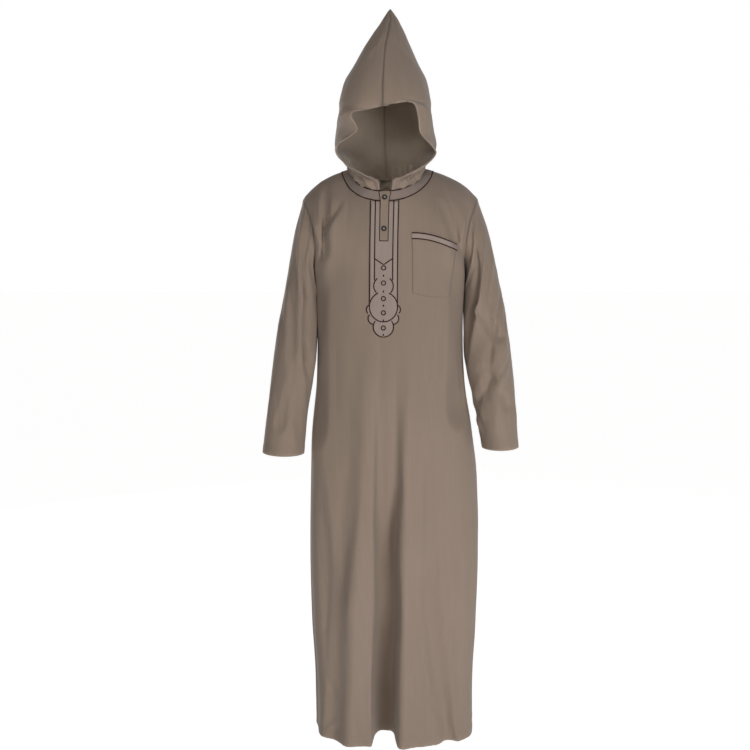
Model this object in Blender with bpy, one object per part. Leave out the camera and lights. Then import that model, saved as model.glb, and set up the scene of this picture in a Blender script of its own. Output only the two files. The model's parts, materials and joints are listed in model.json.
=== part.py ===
"""Hooded djellaba, in the shape it takes when worn, hollow and with no wearer.

Metres, +Z up. The front faces -Y and the wearer's left arm is on +X. The origin lies
between the shoulders at the base of the neck, where the wearer carries the garment.

Each cut piece of cloth is one closed wall. Its outer face comes from a formula over two
running numbers, one across the cloth and one along it, and its inner face is the same
face moved in by the thickness of the cloth. Pieces that are sewn together share the
points of their seam, drawn back from it by half of SEAM_GAP.
"""

import math
from types import SimpleNamespace

import bmesh
import bpy
from mathutils import Vector
from mathutils.bvhtree import BVHTree

# ---------------------------------------------------------------- driving sizes
CLOTH = 0.0016  # thickness of the wool blend wall
TRIM = 0.0010  # thickness of the facings that are stitched on top
SEAM_GAP = 0.0004  # between two pieces along a seam
LIFT = 0.0005  # between a piece and what it lies on

UNDERARM_Z = -0.228
HEM_Z = -1.415

NECK_X = -0.005  # centre of the neckline
NECK_SWAY = -0.007  # its front centre hangs this much to the wearer's right
NECK_HALF_WIDTH = 0.086
NECK_SIDE_Z = 0.009
NECK_FRONT_Z = -0.051
NECK_BACK_Z = -0.012
NECK_SIDE_Y = 0.003
NECK_FRONT_Y = -0.105
NECK_BACK_Y = 0.080
NECK_SHARE = 0.42  # share of a panel's width that ends in the neckline, not the shoulder
HOOD_STOP_ANGLE = 9.0  # degrees from the front centre where the hood's front edge is sewn

SHOULDER_Y = 0.005
YOKE_TURN = 65  # degrees that the cloth bends back between the underarm and the shoulder seam
BAND_WIDTH = 0.023
BAND_INSET = 0.0025  # from the neckline seam to the band's inner edge

STRIP_HALF_WIDTH = 0.0105
STRIP_TOP_HALF_WIDTH = 0.0140
STRIP_LENGTH = 0.118

BUTTON_RADIUS = 0.0062
BUTTON_HEIGHT = 0.0030
BUTTON_DISH = 0.0012  # depth of the hollow in a button's face
BUTTON_STEPS = 20

COLOURS = {
    "cloth": (0.262, 0.202, 0.162, 1.0),
    "trim": (0.330, 0.262, 0.230, 1.0),
    "button": (0.030, 0.026, 0.024, 1.0),
}


# ---------------------------------------------------------------- reading tables
class Table:
    """Sizes in rows under named columns, read smoothly between rows by the first column."""

    def __init__(self, columns, *rows):
        self.names = columns.split()
        self.rows = sorted(rows)

    def secant(self, i, column):
        low, high = self.rows[i], self.rows[i + 1]
        return (high[column] - low[column]) / (high[0] - low[0])

    def slope(self, i, column):
        """A slope at row i that never overshoots the rows beside it."""
        if i == 0:
            return self.secant(0, column)
        if i == len(self.rows) - 1:
            return self.secant(i - 1, column)
        before, after = self.secant(i - 1, column), self.secant(i, column)
        if before * after <= 0:
            return 0.0
        return 2 * before * after / (before + after)

    def at(self, key):
        key = min(max(key, self.rows[0][0]), self.rows[-1][0])
        i = 0
        while i < len(self.rows) - 2 and key > self.rows[i + 1][0]:
            i += 1
        low, high = self.rows[i], self.rows[i + 1]
        span = high[0] - low[0]
        t = (key - low[0]) / span
        values = {}
        for c, name in enumerate(self.names):
            values[name] = (
                low[c] * (1 + 2 * t) * (1 - t) ** 2
                + high[c] * t * t * (3 - 2 * t)
                + span * self.slope(i, c) * t * (1 - t) ** 2
                - span * self.slope(i + 1, c) * t * t * (1 - t)
            )
        return SimpleNamespace(**values)


def mix(a, b, t):
    return a + (b - a) * t


def smooth(t):
    t = min(max(t, 0.0), 1.0)
    return t * t * (3 - 2 * t)


# ---------------------------------------------------------------- the tables of sizes
# Level sections of the body below the underarm. squareness 1 is an ellipse, less is boxier.
BODY = Table(
    "z centre_x half_width front back squareness",
    (-1.430, 0.014, 0.199, 0.122, 0.112, 0.56),
    (-1.290, 0.013, 0.201, 0.122, 0.114, 0.61),
    (-1.120, 0.012, 0.210, 0.123, 0.119, 0.66),
    (-0.960, 0.012, 0.213, 0.125, 0.125, 0.66),
    (-0.765, 0.011, 0.209, 0.129, 0.129, 0.66),
    (-0.640, 0.007, 0.200, 0.130, 0.122, 0.64),
    (-0.500, 0.003, 0.183, 0.129, 0.108, 0.60),
    (-0.380, 0.001, 0.179, 0.127, 0.105, 0.56),
    (-0.228, 0.001, 0.182, 0.123, 0.112, 0.52),
)

# Arm sections. out and in are the ends of the section over and under the arm, measured
# away from the wearer's middle, and mid_y and half_depth are its middle and half its depth.
SLEEVES = {
    1: Table(
        "t out_x out_z in_x in_z mid_y half_depth",
        (0.0, 0.214, -0.062, 0.183, -0.228, 0.000, 0.070),
        (0.2, 0.240, -0.139, 0.190, -0.277, -0.003, 0.073),
        (0.4, 0.263, -0.239, 0.190, -0.340, -0.010, 0.070),
        (0.6, 0.288, -0.365, 0.191, -0.428, -0.024, 0.066),
        (0.8, 0.307, -0.525, 0.205, -0.540, -0.041, 0.062),
        (1.0, 0.317, -0.667, 0.228, -0.670, -0.053, 0.059),
    ),
    -1: Table(
        "t out_x out_z in_x in_z mid_y half_depth",
        (0.0, 0.211, -0.064, 0.181, -0.228, 0.000, 0.070),
        (0.2, 0.231, -0.139, 0.188, -0.277, -0.003, 0.072),
        (0.4, 0.249, -0.241, 0.188, -0.340, -0.010, 0.070),
        (0.6, 0.273, -0.370, 0.190, -0.428, -0.024, 0.066),
        (0.8, 0.296, -0.535, 0.200, -0.546, -0.040, 0.063),
        (1.0, 0.313, -0.681, 0.211, -0.685, -0.050, 0.061),
    ),
}
ARMHOLE_BOW = 0.013  # the armhole seam curves this much towards the chest

# One row for each of the hood's sections, from the neckline up. Each section runs from the
# centre back through its widest point to the face opening, or, over the brow, to the
# centre front. turn is the way it heads as it ends there: 0 forward, 90 inward, less outward.
HOOD = Table(
    "v back_y back_z side_y side_z half_width edge_x edge_y edge_z turn",
    (0.00, 0.080, -0.012, 0.003, 0.009, 0.086, 0.014, -0.106, -0.051, 90),
    (0.07, 0.089, 0.013, 0.004, 0.027, 0.091, 0.015, -0.115, -0.031, 75),
    (0.16, 0.103, 0.044, 0.006, 0.046, 0.106, 0.059, -0.096, -0.010, 40),
    (0.27, 0.118, 0.080, 0.008, 0.055, 0.121, 0.121, -0.052, 0.041, -20),
    (0.33, 0.124, 0.099, 0.006, 0.070, 0.124, 0.118, -0.064, 0.062, -12),
    (0.40, 0.128, 0.120, 0.004, 0.091, 0.120, 0.080, -0.104, 0.082, 45),
    (0.46, 0.130, 0.137, 0.002, 0.110, 0.117, 0.066, -0.118, 0.104, 70),
    (0.53, 0.130, 0.156, 0.000, 0.130, 0.114, 0.066, -0.128, 0.130, 78),
    (0.62, 0.127, 0.186, -0.002, 0.160, 0.108, 0.000, -0.141, 0.141, 90),
    (0.72, 0.117, 0.229, 0.000, 0.206, 0.098, 0.000, -0.124, 0.191, 90),
    (0.82, 0.100, 0.282, 0.006, 0.262, 0.073, 0.000, -0.082, 0.261, 90),
    (0.91, 0.077, 0.332, 0.022, 0.320, 0.038, 0.000, -0.025, 0.328, 90),
    (0.97, 0.058, 0.371, 0.040, 0.366, 0.013, 0.000, 0.022, 0.370, 90),
    (1.00, 0.046, 0.393, 0.042, 0.394, 0.000, 0.000, 0.038, 0.395, 90),
)
# How far the hood's back and sides, and its front edge, hang to the wearer's left.
HOOD_LEAN = Table(
    "z x front_x",
    (-0.060, -0.005, -0.011),
    (0.040, -0.009, -0.012),
    (0.150, -0.012, -0.020),
    (0.270, -0.007, -0.014),
    (0.376, 0.001, 0.001),
    (0.395, 0.001, 0.001),
)
BROW_LIFT = 0.014  # the front edge rides this much higher on the wearer's left

# Folds as troughs pressed in from the outside along a line seen from the front or back.
FOLD_COLUMNS = "x_top z_top x_low z_low half_width depth_top depth_low floor"
FRONT_FOLDS = (
    # between the knees, then beside the right knee, then beside the left one
    (-0.008, -0.520, -0.006, -1.480, 0.041, 0.000, 0.098, 4.0),
    (-0.086, -0.560, -0.142, -1.460, 0.034, 0.000, 0.034, 2.0),
    (0.088, -0.900, 0.150, -1.460, 0.030, 0.000, 0.020, 2.0),
    # where the arms press the sides in
    (-0.170, -0.270, -0.176, -0.600, 0.030, 0.010, 0.016, 2.0),
    (0.170, -0.270, 0.168, -0.560, 0.034, 0.014, 0.030, 2.0),
    # from the collarbones down to the underarms
    (-0.150, -0.060, -0.150, -0.185, 0.015, 0.004, 0.012, 2.0),
    (0.122, -0.080, 0.152, -0.165, 0.016, 0.003, 0.011, 2.0),
)
BACK_FOLDS = (
    # under the shoulder blades and down to the hem
    (-0.020, -0.420, -0.014, -1.480, 0.040, 0.000, 0.052, 2.0),
    (0.075, -0.560, 0.098, -1.480, 0.036, 0.000, 0.040, 2.0),
    (-0.098, -0.600, -0.112, -1.480, 0.036, 0.000, 0.044, 2.0),
    (-0.160, -0.150, -0.170, -0.560, 0.028, 0.004, 0.016, 2.0),
    (0.160, -0.150, 0.168, -0.560, 0.028, 0.004, 0.016, 2.0),
)
SLEEVE_FOLDS = (
    # in front of the elbow and over the forearm on the wearer's left, then on the right
    (0.205, -0.330, 0.262, -0.395, 0.020, 0.006, 0.010, 2.0),
    (0.225, -0.480, 0.285, -0.560, 0.022, 0.006, 0.008, 2.0),
    (-0.232, -0.150, -0.236, -0.420, 0.020, 0.003, 0.008, 2.0),
    (-0.226, -0.470, -0.262, -0.600, 0.020, 0.004, 0.006, 2.0),
)

# The lobes of the chest facing, as circles: sideways from its middle, height, radius.
FACING_HALF_WIDTH = 0.0345
FACING_TOP_Z = -0.0785  # at its middle, and it rises to both sides with the neck band
FACING_TOP_CURVE = 4.6
FACING_BOTTOM_Z = -0.318
FACING_LOBES = (
    (0.0285, -0.3285, 0.0125),
    (0.0225, -0.3495, 0.0145),
    (0.0000, -0.3690, 0.0250),
)
CENTRE_LINE = Table("z x", (-0.400, -0.0163), (-0.200, -0.0158), (-0.060, -0.0130))

POCKET_LEFT, POCKET_RIGHT = 0.050, 0.157
POCKET_TOP_Z, POCKET_SLOPE, POCKET_SAG = -0.150, -0.027, 0.004
POCKET_DEPTH, POCKET_POINT = 0.140, 0.005
POCKET_BAND_HEIGHT = 0.0145


# ---------------------------------------------------------------- folds and sections
def pressed_in(folds, x, z):
    """How far the folds press the cloth in at this place, seen from the front or the back."""
    total = 0.0
    for row in folds:
        fold = SimpleNamespace(**dict(zip(FOLD_COLUMNS.split(), row)))
        way = Vector((fold.x_low - fold.x_top, fold.z_low - fold.z_top))
        gone = Vector((x - fold.x_top, z - fold.z_top))
        share = gone.dot(way) / way.dot(way)
        inside = min(max(share, 0.0), 1.0)
        # beyond its ends a fold fades out over a quarter of its length
        beyond = abs(share - inside) / 0.25
        aside = abs(gone.x * way.y - gone.y * way.x) / way.length / fold.half_width
        away = math.hypot(aside, beyond)
        if away < 1:
            total += mix(fold.depth_top, fold.depth_low, inside) * (1 - away**fold.floor) ** 2
    return total


def section_point(angle, z):
    """A point on the body's level section: angle 0 is the front centre, 90 the wearer's left side."""
    size = BODY.at(z)
    x = size.centre_x + size.half_width * math.sin(math.radians(angle))
    across = math.cos(math.radians(angle))
    depth = abs(across) ** size.squareness
    # the folds die out at the side seams, which the front and the back share
    held = smooth(abs(across) / 0.35)
    if across >= 0:
        return Vector((x, -size.front * depth + held * pressed_in(FRONT_FOLDS, x, z), z))
    return Vector((x, size.back * depth - held * pressed_in(BACK_FOLDS, x, z), z))


SECTION_SAMPLES = 90
section_cache = {}


def skirt_point(face, across, z):
    """face is 1 for the front and -1 for the back. across runs from -1 to 1 in equal lengths of cloth."""
    key = (face, round(z, 6))
    if key not in section_cache:
        middle = 0 if face == 1 else 180
        turns = [-90 + 180 * i / SECTION_SAMPLES for i in range(SECTION_SAMPLES + 1)]
        points = [section_point(middle + face * turn, z) for turn in turns]
        lengths = [0.0]
        for a, b in zip(points, points[1:]):
            lengths.append(lengths[-1] + (b - a).length)
        section_cache[key] = points, lengths
    points, lengths = section_cache[key]
    wanted = (across + 1) / 2 * lengths[-1]
    i = 0
    while i < len(points) - 2 and lengths[i + 1] < wanted:
        i += 1
    t = (wanted - lengths[i]) / (lengths[i + 1] - lengths[i])
    return points[i].lerp(points[i + 1], min(max(t, 0.0), 1.0))


def neck_point(angle):
    """The neckline: angle 0 is the front centre, 90 the wearer's left shoulder, 180 the back."""
    across, along = math.sin(math.radians(angle)), math.cos(math.radians(angle))
    x = NECK_X + NECK_HALF_WIDTH * across + NECK_SWAY * max(along, 0.0)
    if along >= 0:
        return Vector((x, mix(NECK_SIDE_Y, NECK_FRONT_Y, along), mix(NECK_SIDE_Z, NECK_FRONT_Z, along)))
    return Vector((x, mix(NECK_SIDE_Y, NECK_BACK_Y, -along), mix(NECK_SIDE_Z, NECK_BACK_Z, -along)))


def shoulder_point(side, t):
    """The shoulder seam, from the neckline at t 0 to the top of the armhole at t 1."""
    neck = neck_point(90 * side)
    end = SLEEVES[side].at(0)
    drop = 0.45 * t + 0.55 * t**2.6
    return Vector((mix(neck.x, side * end.out_x, t), mix(neck.y, SHOULDER_Y, t), mix(neck.z, end.out_z, drop)))


def sleeve_point(side, t, angle):
    """angle 0 is over the arm, 90 in front of it, 180 under it and 270 behind it."""
    size = SLEEVES[side].at(t)
    over, front = math.cos(math.radians(angle)), math.sin(math.radians(angle))
    x = mix(size.in_x, size.out_x, (over + 1) / 2) - ARMHOLE_BOW * front**2 * max(0.0, 1 - t / 0.3) ** 2
    z = mix(size.in_z, size.out_z, (over + 1) / 2)
    # the armhole's two ends lie on the shoulder seam and the side seam
    middle = size.mid_y + SHOULDER_Y * (over + 1) / 2 * max(0.0, 1 - t / 0.2)
    reach = size.half_depth * front
    if front > 0:
        reach -= pressed_in(SLEEVE_FOLDS, side * x, z) * smooth(4 * t) * front
    return Vector((side * x, middle - reach, z))


def yoke_edge(face, across):
    """The top edge of a panel: its neckline in the middle and its shoulder seams beside it."""
    if abs(across) <= NECK_SHARE:
        angle = 90 * across / NECK_SHARE
        return neck_point(angle if face == 1 else 180 - angle)
    side = 1 if across > 0 else -1
    return shoulder_point(side, (abs(across) - NECK_SHARE) / (1 - NECK_SHARE))


def yoke_point(face, across, rise):
    """A panel above the underarm. rise runs from 0 at the underarm to 1 at the shoulder seam."""

    full = math.radians(YOKE_TURN)
    over = (1 - math.cos(full * rise)) / (1 - math.cos(full))
    up = math.sin(full * rise) / math.sin(full)

    def plain(u):
        low, high = skirt_point(face, u, UNDERARM_Z), yoke_edge(face, u)
        return Vector((mix(low.x, high.x, 1 - (1 - rise) ** 0.6), mix(low.y, high.y, over), mix(low.z, high.z, up)))

    point = plain(across)
    for side in (-1, 1):
        angle = 180 * (1 - rise)
        seam = sleeve_point(side, 0, angle if face == 1 else 360 - angle)
        pull = max(0.0, side * across) ** 1.7
        point += (seam - plain(side)) * pull
    folds = FRONT_FOLDS if face == 1 else BACK_FOLDS
    held = (1 - across**8) * (1 - rise**6)
    point.y += face * pressed_in(folds, point.x, point.z) * held * smooth(rise * 6)
    return point


def panel_point(face, across, along):
    """along runs from 0 at the hem to 1 at the underarm and 2 at the shoulder seam."""
    if along >= 1:
        return yoke_point(face, across, along - 1)
    return skirt_point(face, across, mix(HEM_Z, UNDERARM_Z, along))


def hermite(start, start_way, end, end_way, t):
    return (
        start * ((1 + 2 * t) * (1 - t) ** 2)
        + end * (t * t * (3 - 2 * t))
        + start_way * (t * (1 - t) ** 2)
        - end_way * (t * t * (1 - t))
    )


def hood_point(side, s, v):
    """s runs from 0 at the centre back to 1 at the front edge, v from 0 at the neckline to 1 at the tip."""
    size = HOOD.at(v)
    back = Vector((0, size.back_y, size.back_z))
    widest = Vector((size.half_width, size.side_y, size.side_z))
    edge = Vector((size.edge_x, size.edge_y, size.edge_z))
    round_off = 1.55
    if s < 0.5:
        way_back = Vector((widest.x * round_off, 0, 0))
        way_side = Vector((0, (widest.y - back.y) * round_off, widest.z - back.z))
        point = hermite(back, way_back, widest, way_side, 2 * s)
    else:
        ahead = (edge - widest).length
        heading = math.radians(size.turn)
        way_side = Vector((0, -ahead * 1.25, edge.z - widest.z))
        way_edge = Vector((-math.sin(heading), -math.cos(heading), 0)) * ahead * 1.2
        way_edge.x = max(way_edge.x, -2.2 * size.half_width)
        point = hermite(widest, way_side, edge, way_edge, 2 * s - 1)
    lean = HOOD_LEAN.at(point.z)
    ahead = max(0.0, 2 * s - 1) ** 2
    point.x = side * point.x + mix(lean.x, lean.front_x, ahead)
    if side == 1:
        brow = smooth((v - 0.40) / 0.12) * smooth((0.80 - v) / 0.18)
        point.z += BROW_LIFT * brow * ahead * (1 - smooth((s - 0.86) / 0.14))
    # the lowest sections follow the neckline that they are sewn to
    angle = 180 - 180 * s if s < 0.5 else mix(90, HOOD_STOP_ANGLE, 2 * s - 1)
    seam = neck_point(side * angle)
    sewn = max(0.0, 1 - v / 0.10) ** 2
    return point.lerp(seam, sewn)


# ---------------------------------------------------------------- cloth walls
class Piece:
    """One cut piece: a grid of points on its outer face, rows along the cloth, columns across it."""

    def __init__(self, name, colour, rows, seams="", tube=False, outward=1, tip_side=0):
        self.name, self.colour, self.rows = name, colour, rows
        self.seams, self.tube, self.outward, self.tip_side = seams, tube, outward, tip_side
        self.normals, self.apart = {}, {}
        self.crossed = {cell[0] for cell in self.cells() if self.crosses(cell)}

    def cells(self):
        columns = len(self.rows[0])
        last = columns if self.tube else columns - 1
        for i in range(len(self.rows) - 1):
            for j in range(last):
                yield (i, j), (i, (j + 1) % columns), (i + 1, (j + 1) % columns), (i + 1, j)

    def crosses(self, cell):
        """Whether a cell is cut from its second corner to its fourth, its shorter way."""
        a, b, c, d = (self.rows[i][j] for i, j in cell)
        if self.tip_side and cell[2][0] == len(self.rows) - 1:
            return cell[0][1] < len(self.rows[0]) / 2
        return (d - b).length < 0.8 * (c - a).length

    def triangles(self):
        """Each cell as two triangles. Both faces of a wall fold along the same diagonal."""
        for a, b, c, d in self.cells():
            yield from ((a, b, d), (b, c, d)) if a in self.crossed else ((a, b, c), (a, c, d))

    def drawn_back(self, i, j):
        """A point of the grid, moved off its seam, if it lies on one."""
        rows, last_row, last_column = self.rows, len(self.rows) - 1, len(self.rows[0]) - 1
        point = rows[i][j].copy()
        inner = {
            "low": (i == 0, (1, j)),
            "high": (i == last_row, (last_row - 1, j)),
            "left": (j == 0 and not self.tube, (i, 1)),
            "right": (j == last_column and not self.tube, (i, last_column - 1)),
        }
        if i == last_row and self.tip_side:
            return point + Vector((self.tip_side * SEAM_GAP / 2, 0, 0))
        for edge, (lies_on_it, (k, m)) in inner.items():
            if lies_on_it and edge in self.seams.split():
                point += (rows[k][m] - rows[i][j]).normalized() * SEAM_GAP / 2
        return point + self.apart.get((i, j), Vector()) * SEAM_GAP / 2


def share_normals(pieces):
    """Gives each point the mean direction of the cloth that meets there, so that seams match.

    Where two pieces fold sharply inwards at their seam, as under the arm, each keeps its own
    and moves away from the other.
    """
    own, into, meeting = {}, {}, {}

    def key(point):
        return tuple(round(c * 1e5) for c in point)

    for piece in pieces:
        for cell in piece.cells():
            a, b, c, d = (piece.rows[i][j] for i, j in cell)
            face_normal = (c - a).cross(d - b) * piece.outward
            for corner in (a, b, c, d):
                at = (piece.name, key(corner))
                own[at] = own.get(at, Vector()) + face_normal
                into[at] = into.get(at, Vector()) + (a + b + c + d) / 4 - corner
                meeting.setdefault(key(corner), set()).add(piece.name)
    for piece in pieces:
        for i, row in enumerate(piece.rows):
            for j, point in enumerate(row):
                mine = own[piece.name, key(point)].normalized()
                way_in = into[piece.name, key(point)].normalized()
                total, apart = Vector(), Vector()
                for name in sorted(meeting[key(point)]):
                    normal = own[name, key(point)].normalized()
                    if normal.dot(mine) > 0.3 or normal.dot(way_in) < -0.2:
                        total += normal
                    else:
                        apart += normal
                piece.normals[i, j] = total.normalized()
                piece.apart[i, j] = apart
                if piece.tip_side and i == len(piece.rows) - 1:
                    # the pointed end is thick enough only when its inner face lies well below
                    piece.normals[i, j] = Vector((0, 0, 1.7))


def material(slot):
    found = bpy.data.materials.get(slot)
    if found:
        return found
    made = bpy.data.materials.new(slot)
    made.use_nodes = True
    shader = made.node_tree.nodes["Principled BSDF"]
    shader.inputs["Base Color"].default_value = COLOURS[slot]
    shader.inputs["Roughness"].default_value = 0.35 if slot == "button" else 0.85
    return made


def add_object(name, colour, points, faces, material_slot=True):
    mesh = bpy.data.meshes.new(name)
    mesh.from_pydata([tuple(p) for p in points], [], faces)
    mesh.shade_smooth()
    if material_slot:
        mesh.materials.append(material(colour))
    made = bpy.data.objects.new(name, mesh)
    bpy.context.scene.collection.objects.link(made)
    return made


def add_wall(piece, thickness=CLOTH):
    """Builds the closed wall of a piece: its outer face, its inner face and the rim between them."""
    columns = len(piece.rows[0])
    outer, inner = [], []
    for i in range(len(piece.rows)):
        for j in range(columns):
            point = piece.drawn_back(i, j)
            outer.append(point)
            inner.append(point - piece.normals[i, j] * thickness)
    shift = len(outer)

    def index(place):
        return place[0] * columns + place[1]

    faces = []
    for triangle in piece.triangles():
        corners = [index(place) for place in triangle]
        faces += [corners, [shift + corner for corner in reversed(corners)]]
    last_row = len(piece.rows) - 1
    around = [(0, j) for j in range(columns)], [(last_row, j) for j in range(columns)]
    if piece.tube:
        loops = [list(ring) + [ring[0]] for ring in around]
    else:
        right = [(i, columns - 1) for i in range(1, last_row)]
        left = [(i, 0) for i in range(last_row - 1, 0, -1)]
        loop = around[0] + right + around[1][::-1] + left
        loops = [loop + [loop[0]]]
    for n, loop in enumerate(loops):
        for a, b in zip(loop, loop[1:]):
            # a tube's two rims run opposite ways round
            a, b = (index(b), index(a)) if n == 1 else (index(a), index(b))
            faces += [[b, a, shift + a], [b, shift + a, shift + b]]
    if piece.outward < 0:
        faces = [face[::-1] for face in faces]
    return add_object(piece.name, piece.colour, outer + inner, faces)


# ---------------------------------------------------------------- the pieces of the garment
SKIRT_ROWS = 17
YOKE_ROWS = 8
NECK_COLUMNS = 9  # from the hood's front edge to the shoulder seam
SHOULDER_COLUMNS = 6
SLEEVE_ROWS = 13
HOOD_ROWS = (0, 0.035, 0.07, 0.115, 0.16, 0.215, 0.27, 0.30, 0.33, 0.365, 0.40, 0.46, 0.53,
             0.56, 0.59, 0.62, 0.67, 0.72, 0.77, 0.82, 0.87, 0.92, 0.96, 0.985, 1.0)  # fmt: skip


def panel_columns(face):
    """Where a panel's columns lie, so that its neckline has the same points as the hood's."""
    stop = NECK_SHARE * HOOD_STOP_ANGLE / 90 if face == 1 else 0
    half = [mix(stop, NECK_SHARE, i / NECK_COLUMNS) for i in range(NECK_COLUMNS + 1)]
    half += [mix(NECK_SHARE, 1, i / SHOULDER_COLUMNS) for i in range(1, SHOULDER_COLUMNS + 1)]
    half = [u for u in half if u > 0]
    return [-u for u in reversed(half)] + [0.0] + half


def body_panel(name, face):
    columns = panel_columns(face)
    levels = [i / SKIRT_ROWS for i in range(SKIRT_ROWS)]
    levels += [1 + i / YOKE_ROWS for i in range(YOKE_ROWS + 1)]
    rows = [[panel_point(face, u, level) for u in columns] for level in levels]
    return Piece(name, "cloth", rows, seams="left right high", outward=face)


def sleeve(name, side):
    """Its rings have the points of both armhole edges."""
    angles = [180 * i / YOKE_ROWS for i in range(2 * YOKE_ROWS)]
    rows = [[sleeve_point(side, i / SLEEVE_ROWS, angle) for angle in angles] for i in range(SLEEVE_ROWS + 1)]
    return Piece(name, "cloth", rows, seams="low", tube=True, outward=side)


def hood_half(name, side):
    count = 2 * NECK_COLUMNS
    rows = [[hood_point(side, j / count, v) for j in range(count + 1)] for v in HOOD_ROWS]
    return Piece(name, "cloth", rows, seams="low left right", outward=-side, tip_side=side)


def build_cloth():
    pieces = [
        body_panel("front_panel", 1),
        body_panel("back_panel", -1),
        sleeve("sleeve_left", 1),
        sleeve("sleeve_right", -1),
        hood_half("hood_left", 1),
        hood_half("hood_right", -1),
    ]
    share_normals(pieces)
    for piece in pieces:
        add_wall(piece)
    return {piece.name: piece for piece in pieces}


# ---------------------------------------------------------------- what lies on the panels
def layer(name, colour, cloth, rows, columns, level, seams=""):
    """Cloth stitched onto a piece: the piece's own points between these rows and columns, moved out.

    Level 1 lies on the piece itself and level 2 on what is already stitched to it.
    """
    out = level * (LIFT + TRIM)
    grid = [[cloth.rows[i][j] + cloth.normals[i, j] * out for j in columns] for i in rows]
    piece = Piece(name, colour, grid, seams=seams, outward=cloth.outward)
    piece.crossed = {(i - rows[0], j - columns[0]) for i, j in cloth.crossed}
    for i, row in enumerate(rows):
        for j, column in enumerate(columns):
            piece.normals[i, j] = cloth.normals[row, column]
    return add_wall(piece, TRIM)


def cut_by(wall, cutter):
    """Leaves the part of a layer that lies inside the cutter."""
    cutter.hide_render = True
    shape = bmesh.new()
    shape.from_mesh(cutter.data)
    if shape.calc_volume(signed=True) < 0:
        bmesh.ops.reverse_faces(shape, faces=shape.faces)
        shape.to_mesh(cutter.data)
    shape.free()
    cut = wall.modifiers.new("outline", "BOOLEAN")
    cut.operation = "INTERSECT"
    cut.solver = "EXACT"
    cut.object = cutter
    return wall


def trimmed(wall, outline):
    """Cuts a layer to an outline of (x, z) points, seen from the front."""
    near, far = -0.30, -0.02
    points = [(x, y, z) for y in (near, far) for x, z in outline]
    count = len(outline)
    faces = [list(range(count - 1, -1, -1)), list(range(count, 2 * count))]
    for i in range(count):
        j = (i + 1) % count
        faces.append([i, j, count + j, count + i])
    cutter = add_object(wall.name + "_outline", wall.name, points, faces, material_slot=False)
    return cut_by(wall, cutter)


class Surface:
    """The outer face of some pieces, for finding places on it."""

    def __init__(self, pieces):
        points, faces = [], []
        for piece in pieces:
            start, columns = len(points), len(piece.rows[0])
            points += [point for row in piece.rows for point in row]
            faces += [[start + i * columns + j for i, j in corners] for corners in piece.triangles()]
        self.tree = BVHTree.FromPolygons(points, faces)

    def nearest(self, point):
        """The nearest place, and the way that the cloth faces there, which is up or outward."""
        place, normal, _, _ = self.tree.find_nearest(point)
        outward = place - Vector((NECK_X, 0, place.z - 0.06))
        return place, normal if normal.dot(outward) > 0 else -normal


def neck_band(name, panel, surface, middle_angle):
    """The facing round half of the neckline, cut from a layer of the panel by a ring-shaped block."""
    steps, strides = 36, 4
    rings = [[] for _ in range(4)]
    for k in range(steps + 1):
        angle = middle_angle + mix(-93, 93, k / steps)
        along = (neck_point(angle + 1) - neck_point(angle - 1)).normalized()
        point, normal = surface.nearest(neck_point(angle))
        for i in range(strides + 1):
            stride = BAND_INSET if i == 0 else BAND_WIDTH / strides
            out = normal.cross(along).normalized()
            if out.dot(point - Vector((NECK_X, 0, point.z))) < 0:
                out = -out
            point, normal = surface.nearest(point + out * stride)
            if i in (0, strides):
                rings[2 * (i > 0)].append(point - normal * 0.004)
                rings[2 * (i > 0) + 1].append(point + normal * 0.006)
    inner_low, inner_high, outer_low, outer_high = range(4)
    order = (inner_low, inner_high, outer_high, outer_low)
    count = steps + 1
    points = [point for ring in order for point in rings[ring]]
    faces = [[side * count for side in range(4)], [side * count + steps for side in reversed(range(4))]]
    for k in range(steps):
        for side in range(4):
            a, b = side * count + k, (side + 1) % 4 * count + k
            faces += [[a, a + 1, b + 1], [a, b + 1, b]]
    cutter = add_object(name + "_outline", name, points, faces, material_slot=False)
    rows, columns = range(len(panel.rows) - 4, len(panel.rows)), range(2, len(panel.rows[0]) - 2)
    wall = layer(name, "trim", panel, list(rows), list(columns), 1, seams="high")
    return cut_by(wall, cutter)


def facing_half_width(z):
    """Half the width of the chest facing at this height: a strip that ends in round lobes."""
    widest = FACING_HALF_WIDTH if z >= FACING_BOTTOM_Z else 0.0
    for aside, middle_z, radius in FACING_LOBES:
        if abs(z - middle_z) <= radius:
            widest = max(widest, aside + math.sqrt(radius**2 - (z - middle_z) ** 2))
    return widest


def facing_outline():
    """Its top follows the neck band's outer edge, and its foot is three pairs of lobes."""
    middle = CENTRE_LINE.at(NECK_FRONT_Z).x
    top = []
    for i in range(9):
        aside = FACING_HALF_WIDTH * (i / 4 - 1)
        top.append((middle + aside, FACING_TOP_Z + FACING_TOP_CURVE * aside**2))
    bottom = FACING_LOBES[-1][1] - FACING_LOBES[-1][2]
    levels = [-0.12, -0.17, -0.22, -0.27]
    levels += [mix(FACING_BOTTOM_Z, bottom, math.sin(math.pi / 2 * i / 32)) for i in range(32)]
    right = [(CENTRE_LINE.at(z).x + facing_half_width(z), z) for z in levels]
    left = [(CENTRE_LINE.at(z).x - facing_half_width(z), z) for z in reversed(levels)]
    return top + right + [(CENTRE_LINE.at(bottom).x, bottom)] + left


def strip_outline():
    top = NECK_FRONT_Z - 0.0025
    levels = [top, NECK_FRONT_Z - 0.012, NECK_FRONT_Z - 0.026, NECK_FRONT_Z - STRIP_LENGTH]
    sides = []
    for z in levels:
        half = mix(STRIP_TOP_HALF_WIDTH, STRIP_HALF_WIDTH, smooth((NECK_FRONT_Z - z) / 0.026))
        sides.append((CENTRE_LINE.at(z).x, half, z))
    return [(x + half, z) for x, half, z in sides] + [(x - half, z) for x, half, z in reversed(sides)]


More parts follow.
